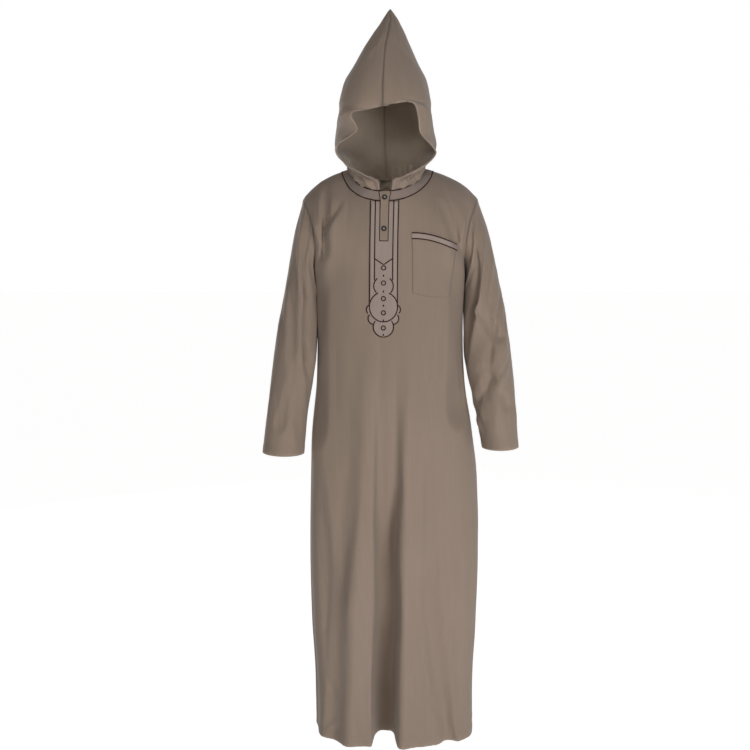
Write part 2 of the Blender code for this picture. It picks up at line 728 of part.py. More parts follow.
def pocket_mouth(t):
    """Height of the pocket's sloping mouth, t from 0 at its inner end to 1 at its outer end."""
    return POCKET_TOP_Z + POCKET_SLOPE * t**1.35 + POCKET_SAG * math.sin(math.pi * t)


def pocket_outlines():
    """The patch and the facing along its mouth."""
    steps = [i / 8 for i in range(9)]
    mouth = [(mix(POCKET_LEFT, POCKET_RIGHT, t), pocket_mouth(t)) for t in steps]
    low_left, low_right = POCKET_LEFT + 0.002, POCKET_RIGHT - 0.016
    bottom = []
    for t in reversed(steps):
        sag = POCKET_POINT * math.sin(math.pi * t)
        bottom.append((mix(low_left, low_right, t), POCKET_TOP_Z - POCKET_DEPTH - 0.010 * t - sag))
    wider = [(mix(POCKET_LEFT - 0.0005, POCKET_RIGHT + 0.0015, t), pocket_mouth(t)) for t in steps]
    band = [(x, z + 0.0008) for x, z in wider]
    band += [(x, z + 0.0008 - POCKET_BAND_HEIGHT) for x, z in reversed(wider)]
    return mouth + bottom, band


def button(name, strip_points, z):
    """A turned button with a raised rim, standing on the placket."""
    tree = BVHTree.FromPolygons(*strip_points)
    place, normal, _, _ = tree.ray_cast(Vector((CENTRE_LINE.at(z).x, -1.0, z)), Vector((0, 1, 0)))
    if normal.y > 0:
        normal = -normal
    profile = (
        (0.0, BUTTON_HEIGHT - BUTTON_DISH),
        (0.55 * BUTTON_RADIUS, BUTTON_HEIGHT - BUTTON_DISH),
        (0.72 * BUTTON_RADIUS, BUTTON_HEIGHT),
        (0.90 * BUTTON_RADIUS, BUTTON_HEIGHT),
        (BUTTON_RADIUS, 0.6 * BUTTON_HEIGHT),
        (0.80 * BUTTON_RADIUS, 0.0),
        (0.0, 0.0),
    )
    work = bmesh.new()
    points = [work.verts.new((r, 0, h)) for r, h in profile]
    edges = [work.edges.new(pair) for pair in zip(points, points[1:])]
    bmesh.ops.spin(
        work, geom=points + edges, cent=(0, 0, 0), axis=(0, 0, 1), angle=math.tau, steps=BUTTON_STEPS
    )
    bmesh.ops.remove_doubles(work, verts=work.verts, dist=1e-6)
    bmesh.ops.recalc_face_normals(work, faces=work.faces)
    mesh = bpy.data.meshes.new(name)
    work.to_mesh(mesh)
    work.free()
    mesh.shade_smooth()
    mesh.set_sharp_from_angle(angle=math.radians(35))
    mesh.materials.append(material("button"))
    made = bpy.data.objects.new(name, mesh)
    made.location = place + normal * LIFT
    made.rotation_mode = "QUATERNION"
    made.rotation_quaternion = normal.to_track_quat("Z", "Y")
    bpy.context.scene.collection.objects.link(made)


def build_trim(cloth):
    front, back = cloth["front_panel"], cloth["back_panel"]
    neckline = Surface([front, back])
    neck_band("neck_band_front", front, neckline, 0)
    neck_band("neck_band_back", back, neckline, 180)

    last = len(front.rows) - 1
    across = panel_columns(1)

    def columns(low, high):
        """The columns that cover these two, with one to spare at each side."""
        inside = [j for j, u in enumerate(across) if low <= u <= high]
        return list(range(inside[0] - 1, inside[-1] + 2))

    def rows(low_z, high):
        """The rows from below this height up to row high."""
        under = [i for i in range(high) if max(point.z for point in front.rows[i]) < low_z]
        return list(range(under[-1], high + 1))

    facing = layer("chest_facing", "trim", front, rows(-0.41, last), columns(-0.20, 0.14), 1)
    trimmed(facing, facing_outline())
    strip = layer("placket_strip", "cloth", front, rows(-0.19, last), columns(-0.13, 0.07), 2)
    trimmed(strip, strip_outline())
    patch, mouth = pocket_outlines()
    pocket = layer("pocket", "cloth", front, rows(-0.32, last - 2), columns(0.16, 0.66), 1)
    trimmed(pocket, patch)
    band = layer("pocket_band", "trim", front, rows(-0.21, last - 2), columns(0.16, 0.66), 2)
    trimmed(band, mouth)

    mesh = strip.data
    shape = [v.co for v in mesh.vertices], [list(p.vertices) for p in mesh.polygons]
    button("button_top", shape, NECK_FRONT_Z - 0.0165)
    button("button_low", shape, NECK_FRONT_Z - 0.0888)


def main():
    for old in list(bpy.data.objects):
        bpy.data.objects.remove(old)
    build_trim(build_cloth())


main()
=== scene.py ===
# %% [markdown]
# # A hooded djellaba, cut, folded and sewn in Blender
# A djellaba is a long loose robe with a pointed hood. It is cut from a few large pieces of
# wool blend: a front, a back, two sleeves and two halves of the hood, with stitched facings.
# This lesson makes each of those pieces as a thin sheet of cloth and sews them together.
# It starts with the frame: plain solids of the same garment, which give every size and place.

# %% Tools and the frame
import json
import math
from types import SimpleNamespace

import bmesh
import bpy
import numpy as np
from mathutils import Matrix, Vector
from mathutils.bvhtree import BVHTree

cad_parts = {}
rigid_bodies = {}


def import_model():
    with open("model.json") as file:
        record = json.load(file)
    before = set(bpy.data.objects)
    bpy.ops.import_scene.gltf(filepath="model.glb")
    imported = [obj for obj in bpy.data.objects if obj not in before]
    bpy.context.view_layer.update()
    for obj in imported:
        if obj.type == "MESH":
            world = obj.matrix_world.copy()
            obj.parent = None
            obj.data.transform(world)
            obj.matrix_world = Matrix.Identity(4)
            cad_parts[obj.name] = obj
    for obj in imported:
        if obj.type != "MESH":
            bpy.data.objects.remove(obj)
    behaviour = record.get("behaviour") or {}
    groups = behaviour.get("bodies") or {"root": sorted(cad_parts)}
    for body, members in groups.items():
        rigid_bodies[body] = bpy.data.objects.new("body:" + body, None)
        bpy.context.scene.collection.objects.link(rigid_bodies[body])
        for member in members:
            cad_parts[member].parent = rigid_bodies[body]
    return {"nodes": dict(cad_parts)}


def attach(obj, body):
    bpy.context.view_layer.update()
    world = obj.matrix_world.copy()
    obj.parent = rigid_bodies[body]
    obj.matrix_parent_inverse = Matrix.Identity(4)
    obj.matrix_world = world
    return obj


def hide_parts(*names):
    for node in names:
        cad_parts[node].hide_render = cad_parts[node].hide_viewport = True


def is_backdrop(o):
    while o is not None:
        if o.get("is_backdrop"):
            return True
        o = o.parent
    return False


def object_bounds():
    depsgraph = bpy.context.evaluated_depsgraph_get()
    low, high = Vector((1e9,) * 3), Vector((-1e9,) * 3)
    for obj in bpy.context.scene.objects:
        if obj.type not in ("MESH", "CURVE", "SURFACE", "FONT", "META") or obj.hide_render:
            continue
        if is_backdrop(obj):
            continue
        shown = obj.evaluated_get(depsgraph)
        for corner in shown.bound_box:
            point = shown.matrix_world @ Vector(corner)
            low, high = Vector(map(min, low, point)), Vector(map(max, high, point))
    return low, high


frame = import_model()
solid_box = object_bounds()
MM = 0.001
print("the frame holds", len(frame["nodes"]), "solids")
print("they reach from", tuple(solid_box[0]), "to", tuple(solid_box[1]))

# %% [markdown]
# ## The camera and the studio
# Clothes are shown on a pale floor under large soft lights, so that folds read as gentle
# shade instead of hard shadows. One sun lamp would draw them hard, and a dome alone would
# draw none. Here a broad disk from the wearer's left models the folds, a weaker one fills
# the shade, a narrow one reaches the hood, and two more light the back. The camera stands
# at chest height and looks slightly down. The world is a pale dome that fills every shadow,
# and the camera sees it as white paper.

# %% Camera
EYE = Vector((-0.036, -2.4, -0.22))
AIM = Vector((-0.036, 0.0, -0.4975))
LENS, SENSOR = 46.39, 36  # millimetres
camera = bpy.data.objects.new("camera", bpy.data.cameras.new("camera"))
camera.data.lens = LENS
camera.data.sensor_width = SENSOR
camera.location = EYE
camera.rotation_euler = (AIM - EYE).to_track_quat("-Z", "Y").to_euler()
bpy.context.scene.collection.objects.link(camera)
bpy.context.scene.camera = camera
bpy.context.scene.view_settings.view_transform = "Standard"
print("the camera stands", round((AIM - EYE).length, 3), "m from the garment")


# %% Lights
def soft_light(name, place, aim, size, power, spread, tint):
    light = bpy.data.lights.new(name, "AREA")
    light.shape, light.size, light.energy, light.color = "DISK", size, power, tint
    light.spread = math.radians(spread)
    made = bpy.data.objects.new(name, light)
    made.location = place
    made.rotation_euler = (Vector(aim) - Vector(place)).to_track_quat("-Z", "Y").to_euler()
    bpy.context.scene.collection.objects.link(made)
    return made


SKIRT, CHEST, CROWN = (0.0, 0.0, -1.05), (0.0, 0.0, -0.5), (0.0, 0.0, 0.2)
NEUTRAL, WARM = (0.985, 0.99, 1.0), (1.0, 0.985, 0.955)
# name, place, aim, size, power, spread and tint of each light
LIGHTS = (
    ("key_light", (1.5, -2.6, -0.9), SKIRT, 1.3, 22.5, 120, NEUTRAL),
    ("fill_light", (-1.3, -2.9, -1.2), SKIRT, 1.6, 2.6, 50, WARM),
    ("hood_light", (-0.3, -2.2, 0.7), CROWN, 0.7, 0.34, 22, WARM),
    ("back_key_light", (-1.8, 2.6, -0.3), CHEST, 1.6, 24.0, 150, NEUTRAL),
    ("back_fill_light", (2.2, 2.0, -0.5), CHEST, 1.6, 10.0, 150, WARM),
)
for settings in LIGHTS:
    soft_light(*settings)
print(len(LIGHTS), "soft lights")

# %% World
DOME_COLOUR, DOME_LEVEL = (1.0, 0.98, 0.955, 1), 0.16
world = bpy.data.worlds.new("pale_dome")
bpy.context.scene.world = world
world.use_nodes = True
dome = world.node_tree
fills = dome.nodes["Background"]
fills.inputs["Color"].default_value = DOME_COLOUR
fills.inputs["Strength"].default_value = DOME_LEVEL
paper = dome.nodes.new("ShaderNodeBackground")
paper.inputs["Color"].default_value = (1, 1, 1, 1)
looked_at = dome.nodes.new("ShaderNodeLightPath")
choose = dome.nodes.new("ShaderNodeMixShader")
for source, socket in (
    (looked_at.outputs["Is Camera Ray"], choose.inputs["Fac"]),
    (fills.outputs["Background"], choose.inputs[1]),
    (paper.outputs["Background"], choose.inputs[2]),
    (choose.outputs["Shader"], dome.nodes["World Output"].inputs["Surface"]),
):
    dome.links.new(source, socket)
print("the world is a pale dome")


# %% [markdown]
# ## Reading sizes from small tables
# A tailor keeps a table of measures at a few heights and draws a smooth line between them.
# This class does the same for whole arrays at once. Its curve never overshoots the rows
# beside it, so a sleeve that narrows in the table never bulges in between.


# %% Tables and small formulas
def mix(a, b, t):
    return a + (b - a) * t


def smooth(t):
    t = np.clip(t, 0.0, 1.0)
    return t * t * (3 - 2 * t)


def plateau(t, start, rise, end, fall):
    """1 between start and end, and 0 outside them. Its slopes are rise and fall wide."""
    return smooth((t - start) / rise) * smooth((end - t) / fall)


def xyz(x, y, z):
    return np.stack(np.broadcast_arrays(x, y, z), axis=-1).astype(float)


class Table:
    """Sizes in rows under named columns, read smoothly between rows by the first column."""

    def __init__(self, columns, *rows):
        self.names = columns.split()
        self.rows = np.array(sorted(rows), float)
        steps = np.diff(self.rows, axis=0)
        slopes = steps / steps[:, :1]
        before, after = slopes[:-1], slopes[1:]
        total = np.where(before + after == 0, 1, before + after)
        inner = np.where(before * after > 0, 2 * before * after / total, 0)
        self.slopes = np.concatenate([slopes[:1], inner, slopes[-1:]])

    def at(self, key):
        keys = self.rows[:, 0]
        key = np.clip(key, keys[0], keys[-1])
        i = np.searchsorted(keys[1:-1], key, side="left")
        low, high = self.rows[i], self.rows[i + 1]
        span = (keys[i + 1] - keys[i])[..., None]
        t = (np.asarray(key)[..., None] - low[..., :1]) / span
        values = (
            low * (1 + 2 * t) * (1 - t) ** 2
            + high * t * t * (3 - 2 * t)
            + span * self.slopes[i] * t * (1 - t) ** 2
            - span * self.slopes[i + 1] * t * t * (1 - t)
        )
        return SimpleNamespace(**{name: values[..., c] for c, name in enumerate(self.names)})


print("tables are ready")

# %% [markdown]
# ## The measures of the garment
# These are the measures that the solids were made from: level sections of the body,
# sections along each sleeve and across the hood, the neckline and the largest folds.
# The cloth is built on them, so that every sheet lies where its solid is. Only two folds
# at the knees and the lift of the brow are a little different here, because a soft sheet
# rounds a fold off more than a plain wall does.

# %% Driving sizes
UNDERARM_Z, HEM_Z = -0.228, -1.415
NECK_X, NECK_SWAY, NECK_HALF_WIDTH = -0.005, -0.007, 0.086
NECK_SIDE_Z, NECK_FRONT_Z, NECK_BACK_Z = 0.009, -0.051, -0.012
NECK_SIDE_Y, NECK_FRONT_Y, NECK_BACK_Y = 0.003, -0.105, 0.080
NECK_SHARE = 0.42  # share of a panel's width that ends in the neckline, not the shoulder
HOOD_STOP_ANGLE = 9.0  # degrees from the front centre where the hood's front edge is sewn
SHOULDER_Y, YOKE_TURN, ARMHOLE_BOW = 0.005, 65, 0.013
CLOTH = 1.2 * MM
print("the neckline is", 2 * NECK_HALF_WIDTH, "m wide, and the cloth", CLOTH, "m thick")

# %% Sections of the body, the sleeves and the hood
BODY = Table(
    "z centre_x half_width front back squareness",
    (-1.430, 0.014, 0.199, 0.122, 0.112, 0.56),
    (-1.290, 0.013, 0.201, 0.122, 0.114, 0.61),
    (-1.120, 0.012, 0.210, 0.123, 0.119, 0.66),
    (-0.960, 0.012, 0.213, 0.125, 0.125, 0.66),
    (-0.765, 0.011, 0.209, 0.129, 0.129, 0.66),
    (-0.640, 0.007, 0.200, 0.130, 0.122, 0.64),
    (-0.500, 0.003, 0.183, 0.129, 0.108, 0.60),
    (-0.380, 0.001, 0.179, 0.127, 0.105, 0.56),
    (-0.228, 0.001, 0.182, 0.123, 0.112, 0.52),
)
SLEEVE_COLUMNS = "t out_x out_z in_x in_z mid_y half_depth"
SLEEVES = {
    1: Table(
        SLEEVE_COLUMNS,
        (0.0, 0.214, -0.062, 0.183, -0.228, 0.000, 0.070),
        (0.2, 0.240, -0.139, 0.190, -0.277, -0.003, 0.073),
        (0.4, 0.263, -0.239, 0.190, -0.340, -0.010, 0.070),
        (0.6, 0.288, -0.365, 0.191, -0.428, -0.024, 0.066),
        (0.8, 0.307, -0.525, 0.205, -0.540, -0.041, 0.062),
        (1.0, 0.317, -0.667, 0.228, -0.670, -0.053, 0.059),
    ),
    -1: Table(
        SLEEVE_COLUMNS,
        (0.0, 0.211, -0.064, 0.181, -0.228, 0.000, 0.070),
        (0.2, 0.231, -0.139, 0.188, -0.277, -0.003, 0.072),
        (0.4, 0.249, -0.241, 0.188, -0.340, -0.010, 0.070),
        (0.6, 0.273, -0.370, 0.190, -0.428, -0.024, 0.066),
        (0.8, 0.296, -0.535, 0.200, -0.546, -0.040, 0.063),
        (1.0, 0.313, -0.681, 0.211, -0.685, -0.050, 0.061),
    ),
}
HOOD = Table(
    "v back_y back_z side_y side_z half_width edge_x edge_y edge_z turn",
    (0.00, 0.080, -0.012, 0.003, 0.009, 0.086, 0.014, -0.106, -0.051, 90),
    (0.07, 0.089, 0.013, 0.004, 0.027, 0.091, 0.015, -0.115, -0.031, 75),
    (0.16, 0.103, 0.044, 0.006, 0.046, 0.106, 0.059, -0.096, -0.010, 40),
    (0.27, 0.118, 0.080, 0.008, 0.055, 0.121, 0.121, -0.052, 0.041, -20),
    (0.33, 0.124, 0.099, 0.006, 0.070, 0.124, 0.118, -0.064, 0.062, -12),
    (0.40, 0.128, 0.120, 0.004, 0.091, 0.120, 0.080, -0.104, 0.082, 45),
    (0.46, 0.130, 0.137, 0.002, 0.110, 0.117, 0.066, -0.118, 0.104, 70),
    (0.53, 0.130, 0.156, 0.000, 0.130, 0.114, 0.066, -0.128, 0.130, 78),
    (0.62, 0.127, 0.186, -0.002, 0.160, 0.108, 0.000, -0.141, 0.141, 90),
    (0.72, 0.117, 0.229, 0.000, 0.206, 0.098, 0.000, -0.124, 0.191, 90),
    (0.82, 0.100, 0.282, 0.006, 0.262, 0.073, 0.000, -0.082, 0.261, 90),
    (0.91, 0.077, 0.332, 0.022, 0.320, 0.038, 0.000, -0.025, 0.328, 90),
    (0.97, 0.058, 0.371, 0.040, 0.366, 0.013, 0.000, 0.022, 0.370, 90),
    (1.00, 0.046, 0.393, 0.042, 0.394, 0.000, 0.000, 0.038, 0.395, 90),
)
HOOD_LEAN = Table(
    "z x front_x",
    (-0.060, -0.005, -0.011),
    (0.040, -0.009, -0.012),
    (0.150, -0.012, -0.020),
    (0.270, -0.007, -0.014),
    (0.376, 0.001, 0.001),
    (0.395, 0.001, 0.001),
)
# the brow rides this much higher on the wearer's left, from this far beside the seam
BROW_LIFT, BROW_REACH = 0.016, 0.026
print("the robe is", round(HOOD.at(1.0).edge_z - HEM_Z, 3), "m from hem to tip")

# %% The largest folds
FOLD_FADE = 0.25  # a fold fades out over this share of its length, past both of its ends
# x_top z_top x_low z_low half_width depth_top depth_low flatness
FRONT_FOLDS = (
    (-0.004, -0.520, -0.007, -1.480, 0.038, 0.000, 0.096, 4.0),
    (-0.086, -0.560, -0.142, -1.460, 0.038, 0.000, 0.015, 2.0),
    (0.088, -0.900, 0.150, -1.460, 0.030, 0.000, 0.020, 2.0),
    (-0.170, -0.270, -0.176, -0.600, 0.030, 0.010, 0.016, 2.0),
    (0.170, -0.270, 0.168, -0.560, 0.034, 0.014, 0.030, 2.0),
    (-0.150, -0.060, -0.150, -0.185, 0.015, 0.004, 0.012, 2.0),
    (0.122, -0.080, 0.152, -0.165, 0.016, 0.003, 0.011, 2.0),
)
BACK_FOLDS = (
    (-0.020, -0.420, -0.014, -1.480, 0.040, 0.000, 0.052, 2.0),
    (0.075, -0.560, 0.098, -1.480, 0.036, 0.000, 0.040, 2.0),
    (-0.098, -0.600, -0.112, -1.480, 0.036, 0.000, 0.044, 2.0),
    (-0.160, -0.150, -0.170, -0.560, 0.028, 0.004, 0.016, 2.0),
    (0.160, -0.150, 0.168, -0.560, 0.028, 0.004, 0.016, 2.0),
)
SLEEVE_FOLDS = (
    (0.205, -0.330, 0.262, -0.395, 0.020, 0.006, 0.010, 2.0),
    (0.225, -0.480, 0.285, -0.560, 0.022, 0.006, 0.008, 2.0),
    (-0.232, -0.150, -0.236, -0.420, 0.020, 0.003, 0.008, 2.0),
    (-0.226, -0.470, -0.262, -0.600, 0.020, 0.004, 0.006, 2.0),
)


def pressed_in(folds, x, z):
    """How far the folds press the cloth in, seen from the front or the back."""
    total = np.zeros(np.broadcast(x, z).shape)
    for x_top, z_top, x_low, z_low, half_width, depth_top, depth_low, flatness in folds:
        way_x, way_z = x_low - x_top, z_low - z_top
        length = math.hypot(way_x, way_z)
        gone_x, gone_z = x - x_top, z - z_top
        share = (gone_x * way_x + gone_z * way_z) / length**2
        inside = np.clip(share, 0, 1)
        beyond = np.abs(share - inside) / FOLD_FADE
        aside = np.abs(gone_x * way_z - gone_z * way_x) / length / half_width
        away = np.minimum(np.hypot(aside, beyond), 1)
        total += mix(depth_top, depth_low, inside) * (1 - away**flatness) ** 2
    return total


print(len(FRONT_FOLDS) + len(BACK_FOLDS) + len(SLEEVE_FOLDS), "large folds")


# %% [markdown]
# ## The form of each piece
# Each function below answers one question: where does this point of the cloth hang?
# A point is named by two running numbers, one across the cloth and one along it. Equal
# steps of the first number are equal lengths of cloth, so a weave drawn on it stays even.


# %% The skirt and the body
def section_point(angle, z):
    """A point on a level section: angle 0 is the front centre, 90 the wearer's left side."""
    size = BODY.at(z)
    x = size.centre_x + size.half_width * np.sin(np.radians(angle))
    across = np.cos(np.radians(angle))
    depth = np.abs(across) ** size.squareness
    held = smooth(np.abs(across) / 0.35)
    front = -size.front * depth + held * pressed_in(FRONT_FOLDS, x, z)
    back = size.back * depth - held * pressed_in(BACK_FOLDS, x, z)
    return xyz(x, np.where(across >= 0, front, back), z)


SECTION_STEPS = 260


def skirt_point(face, across, z):
    """face is 1 for the front and -1 for the back. across and z are lists, for a grid of points."""
    middle = 0 if face == 1 else 180
    turns = np.linspace(-90, 90, SECTION_STEPS + 1)
    ring = section_point(middle + face * turns[None, :], np.asarray(z)[:, None])
    steps = np.linalg.norm(np.diff(ring, axis=1), axis=2)
    run = np.concatenate([np.zeros((len(steps), 1)), np.cumsum(steps, axis=1)], axis=1)
    grid = []
    for k, lengths in enumerate(run):
        wanted = (across + 1) / 2 * lengths[-1]
        grid.append([np.interp(wanted, lengths, ring[k, :, axis]) for axis in range(3)])
    return np.moveaxis(np.array(grid), 1, 2)


hem_line = skirt_point(1, np.linspace(-1, 1, 400), [HEM_Z])[0]
hem_length = np.linalg.norm(np.diff(hem_line, axis=0), axis=1).sum()
print("the front's hem is", round(float(hem_length), 3), "m long")


# %% The neckline, the shoulder seams and the sleeves
def neck_point(angle):
    """The neckline: angle 0 is the front centre, 90 the wearer's left shoulder, 180 the back."""
    across, along = np.sin(np.radians(angle)), np.cos(np.radians(angle))
    x = NECK_X + NECK_HALF_WIDTH * across + NECK_SWAY * np.maximum(along, 0)
    ahead, behind = np.maximum(along, 0), np.maximum(-along, 0)
    y = NECK_SIDE_Y + (NECK_FRONT_Y - NECK_SIDE_Y) * ahead + (NECK_BACK_Y - NECK_SIDE_Y) * behind
    z = NECK_SIDE_Z + (NECK_FRONT_Z - NECK_SIDE_Z) * ahead + (NECK_BACK_Z - NECK_SIDE_Z) * behind
    return xyz(x, y, z)


def shoulder_point(side, t):
    """The shoulder seam, from the neckline at t 0 to the top of the armhole at t 1."""
    neck = neck_point(90 * side)
    end = SLEEVES[side].at(0.0)
    drop = 0.45 * t + 0.55 * t**2.6
    return xyz(
        mix(neck[0], side * end.out_x, t), mix(neck[1], SHOULDER_Y, t), mix(neck[2], end.out_z, drop)
    )


def sleeve_point(side, t, angle):
    """angle 0 is over the arm, 90 in front of it, 180 under it and 270 behind it."""
    size = SLEEVES[side].at(t)
    over, front = np.cos(np.radians(angle)), np.sin(np.radians(angle))
    x = mix(size.in_x, size.out_x, (over + 1) / 2)
    x = x - ARMHOLE_BOW * front**2 * np.maximum(0, 1 - t / 0.3) ** 2
    z = mix(size.in_z, size.out_z, (over + 1) / 2)
    middle = size.mid_y + SHOULDER_Y * (over + 1) / 2 * np.maximum(0, 1 - t / 0.2)
    pressed = pressed_in(SLEEVE_FOLDS, side * x, z) * smooth(4 * t) * np.maximum(front, 0)
    return xyz(side * x, middle - size.half_depth * front + pressed, z)


def yoke_edge(face, across):
    """A panel's top edge: its neckline in the middle and its shoulder seams beside it."""
    angle = 90 * np.clip(across / NECK_SHARE, -1, 1)
    neck = neck_point(angle if face == 1 else 180 - angle)
    t = np.clip((np.abs(across) - NECK_SHARE) / (1 - NECK_SHARE), 0, 1)
    seam = np.where((across > 0)[:, None], shoulder_point(1, t), shoulder_point(-1, t))
    return np.where((np.abs(across) <= NECK_SHARE)[:, None], neck, seam)


print("the neckline and the sleeves are drawn")


# %% The yoke, from the underarm to the shoulder seam
def yoke_point(face, across, rise):
    """rise runs from 0 at the underarm to 1 at the shoulder seam."""
    full = math.radians(YOKE_TURN)
    over = (1 - np.cos(full * rise)) / (1 - math.cos(full))
    up = np.sin(full * rise) / math.sin(full)
    share = xyz(1 - (1 - rise) ** 0.6, over, up)[:, None, :]

    def plain(u):
        low, high = skirt_point(face, u, [UNDERARM_Z])[0], yoke_edge(face, u)
        return low[None] + (high - low)[None] * share

    points = plain(across)
    for side in (-1, 1):
        angle = 180 * (1 - rise)
        seam = sleeve_point(side, 0 * rise, angle if face == 1 else 360 - angle)
        pull = np.maximum(0, side * across) ** 1.7
        points += (seam - plain(np.array([float(side)]))[:, 0])[:, None, :] * pull[None, :, None]
    folds = FRONT_FOLDS if face == 1 else BACK_FOLDS
    held = (1 - across[None, :] ** 8) * (1 - rise[:, None] ** 6) * smooth(rise[:, None] * 6)
    points[..., 1] += face * pressed_in(folds, points[..., 0], points[..., 2]) * held
    return points


print("the yoke is drawn")


# %% The hood
def hermite(start, start_way, end, end_way, t):
    t = t[..., None]
    return (
        start * ((1 + 2 * t) * (1 - t) ** 2)
        + end * (t * t * (3 - 2 * t))
        + start_way * (t * (1 - t) ** 2)
        - end_way * (t * t * (1 - t))
    )


# how strongly each end steers its curve: at the back and the widest point, and at the edge
BACK_PULL, SIDE_PULL, EDGE_PULL, MOST_IN = 1.55, 1.25, 1.2, 2.2
SEWN_BELOW = 0.10  # the share of the hood's height over which it settles onto the neckline


def hood_point(side, s, v):
    """s runs from 0 at the centre back to 1 at the front edge, v from the neckline to 1 at the tip."""
    s, v = np.broadcast_arrays(s, v)
    size = HOOD.at(v)
    back = xyz(0, size.back_y, size.back_z)
    widest = xyz(size.half_width, size.side_y, size.side_z)
    edge = xyz(size.edge_x, size.edge_y, size.edge_z)
    way_back = xyz(size.half_width * BACK_PULL, 0, 0)
    way_side = xyz(0, (size.side_y - size.back_y) * BACK_PULL, size.side_z - size.back_z)
    behind = hermite(back, way_back, widest, way_side, np.minimum(2 * s, 1))
    ahead = np.linalg.norm(edge - widest, axis=-1)
    heading = np.radians(size.turn)
    way_side = xyz(0, -ahead * SIDE_PULL, size.edge_z - size.side_z)
    way_in = np.maximum(-np.sin(heading) * ahead * EDGE_PULL, -MOST_IN * size.half_width)
    way_edge = xyz(way_in, -np.cos(heading) * ahead * EDGE_PULL, 0)
    before = hermite(widest, way_side, edge, way_edge, np.maximum(2 * s - 1, 0))
    point = np.where((s < 0.5)[..., None], behind, before)
    lean = HOOD_LEAN.at(point[..., 2])
    ahead = np.maximum(0, 2 * s - 1) ** 2
    from_seam = point[..., 0]
    point[..., 0] = side * point[..., 0] + mix(lean.x, lean.front_x, ahead)
    if side == 1:
        brow = plateau(v, 0.40, 0.12, 0.80, 0.18)
        point[..., 2] += BROW_LIFT * brow * ahead * smooth(from_seam / BROW_REACH)
    angle = np.where(s < 0.5, 180 - 180 * s, mix(90, HOOD_STOP_ANGLE, 2 * s - 1))
    sewn = np.maximum(0, 1 - v / SEWN_BELOW)[..., None] ** 2
    return mix(point, neck_point(side * angle), sewn)


print("the hood is drawn")

# %% [markdown]
# ## Creases
# Worn wool folds where the body pulls it: from the neck to the armpit, round the elbow and
# in long soft pipes down the skirt. A sculpting brush could draw them. A short table is
# easier to change: each row is a line on the cloth with a bend, a width on each side, and a
# height in millimetres at its top, middle and foot. A trough has a negative height. No two
# are alike, and most are steeper on one side, because the cloth leans as it folds.

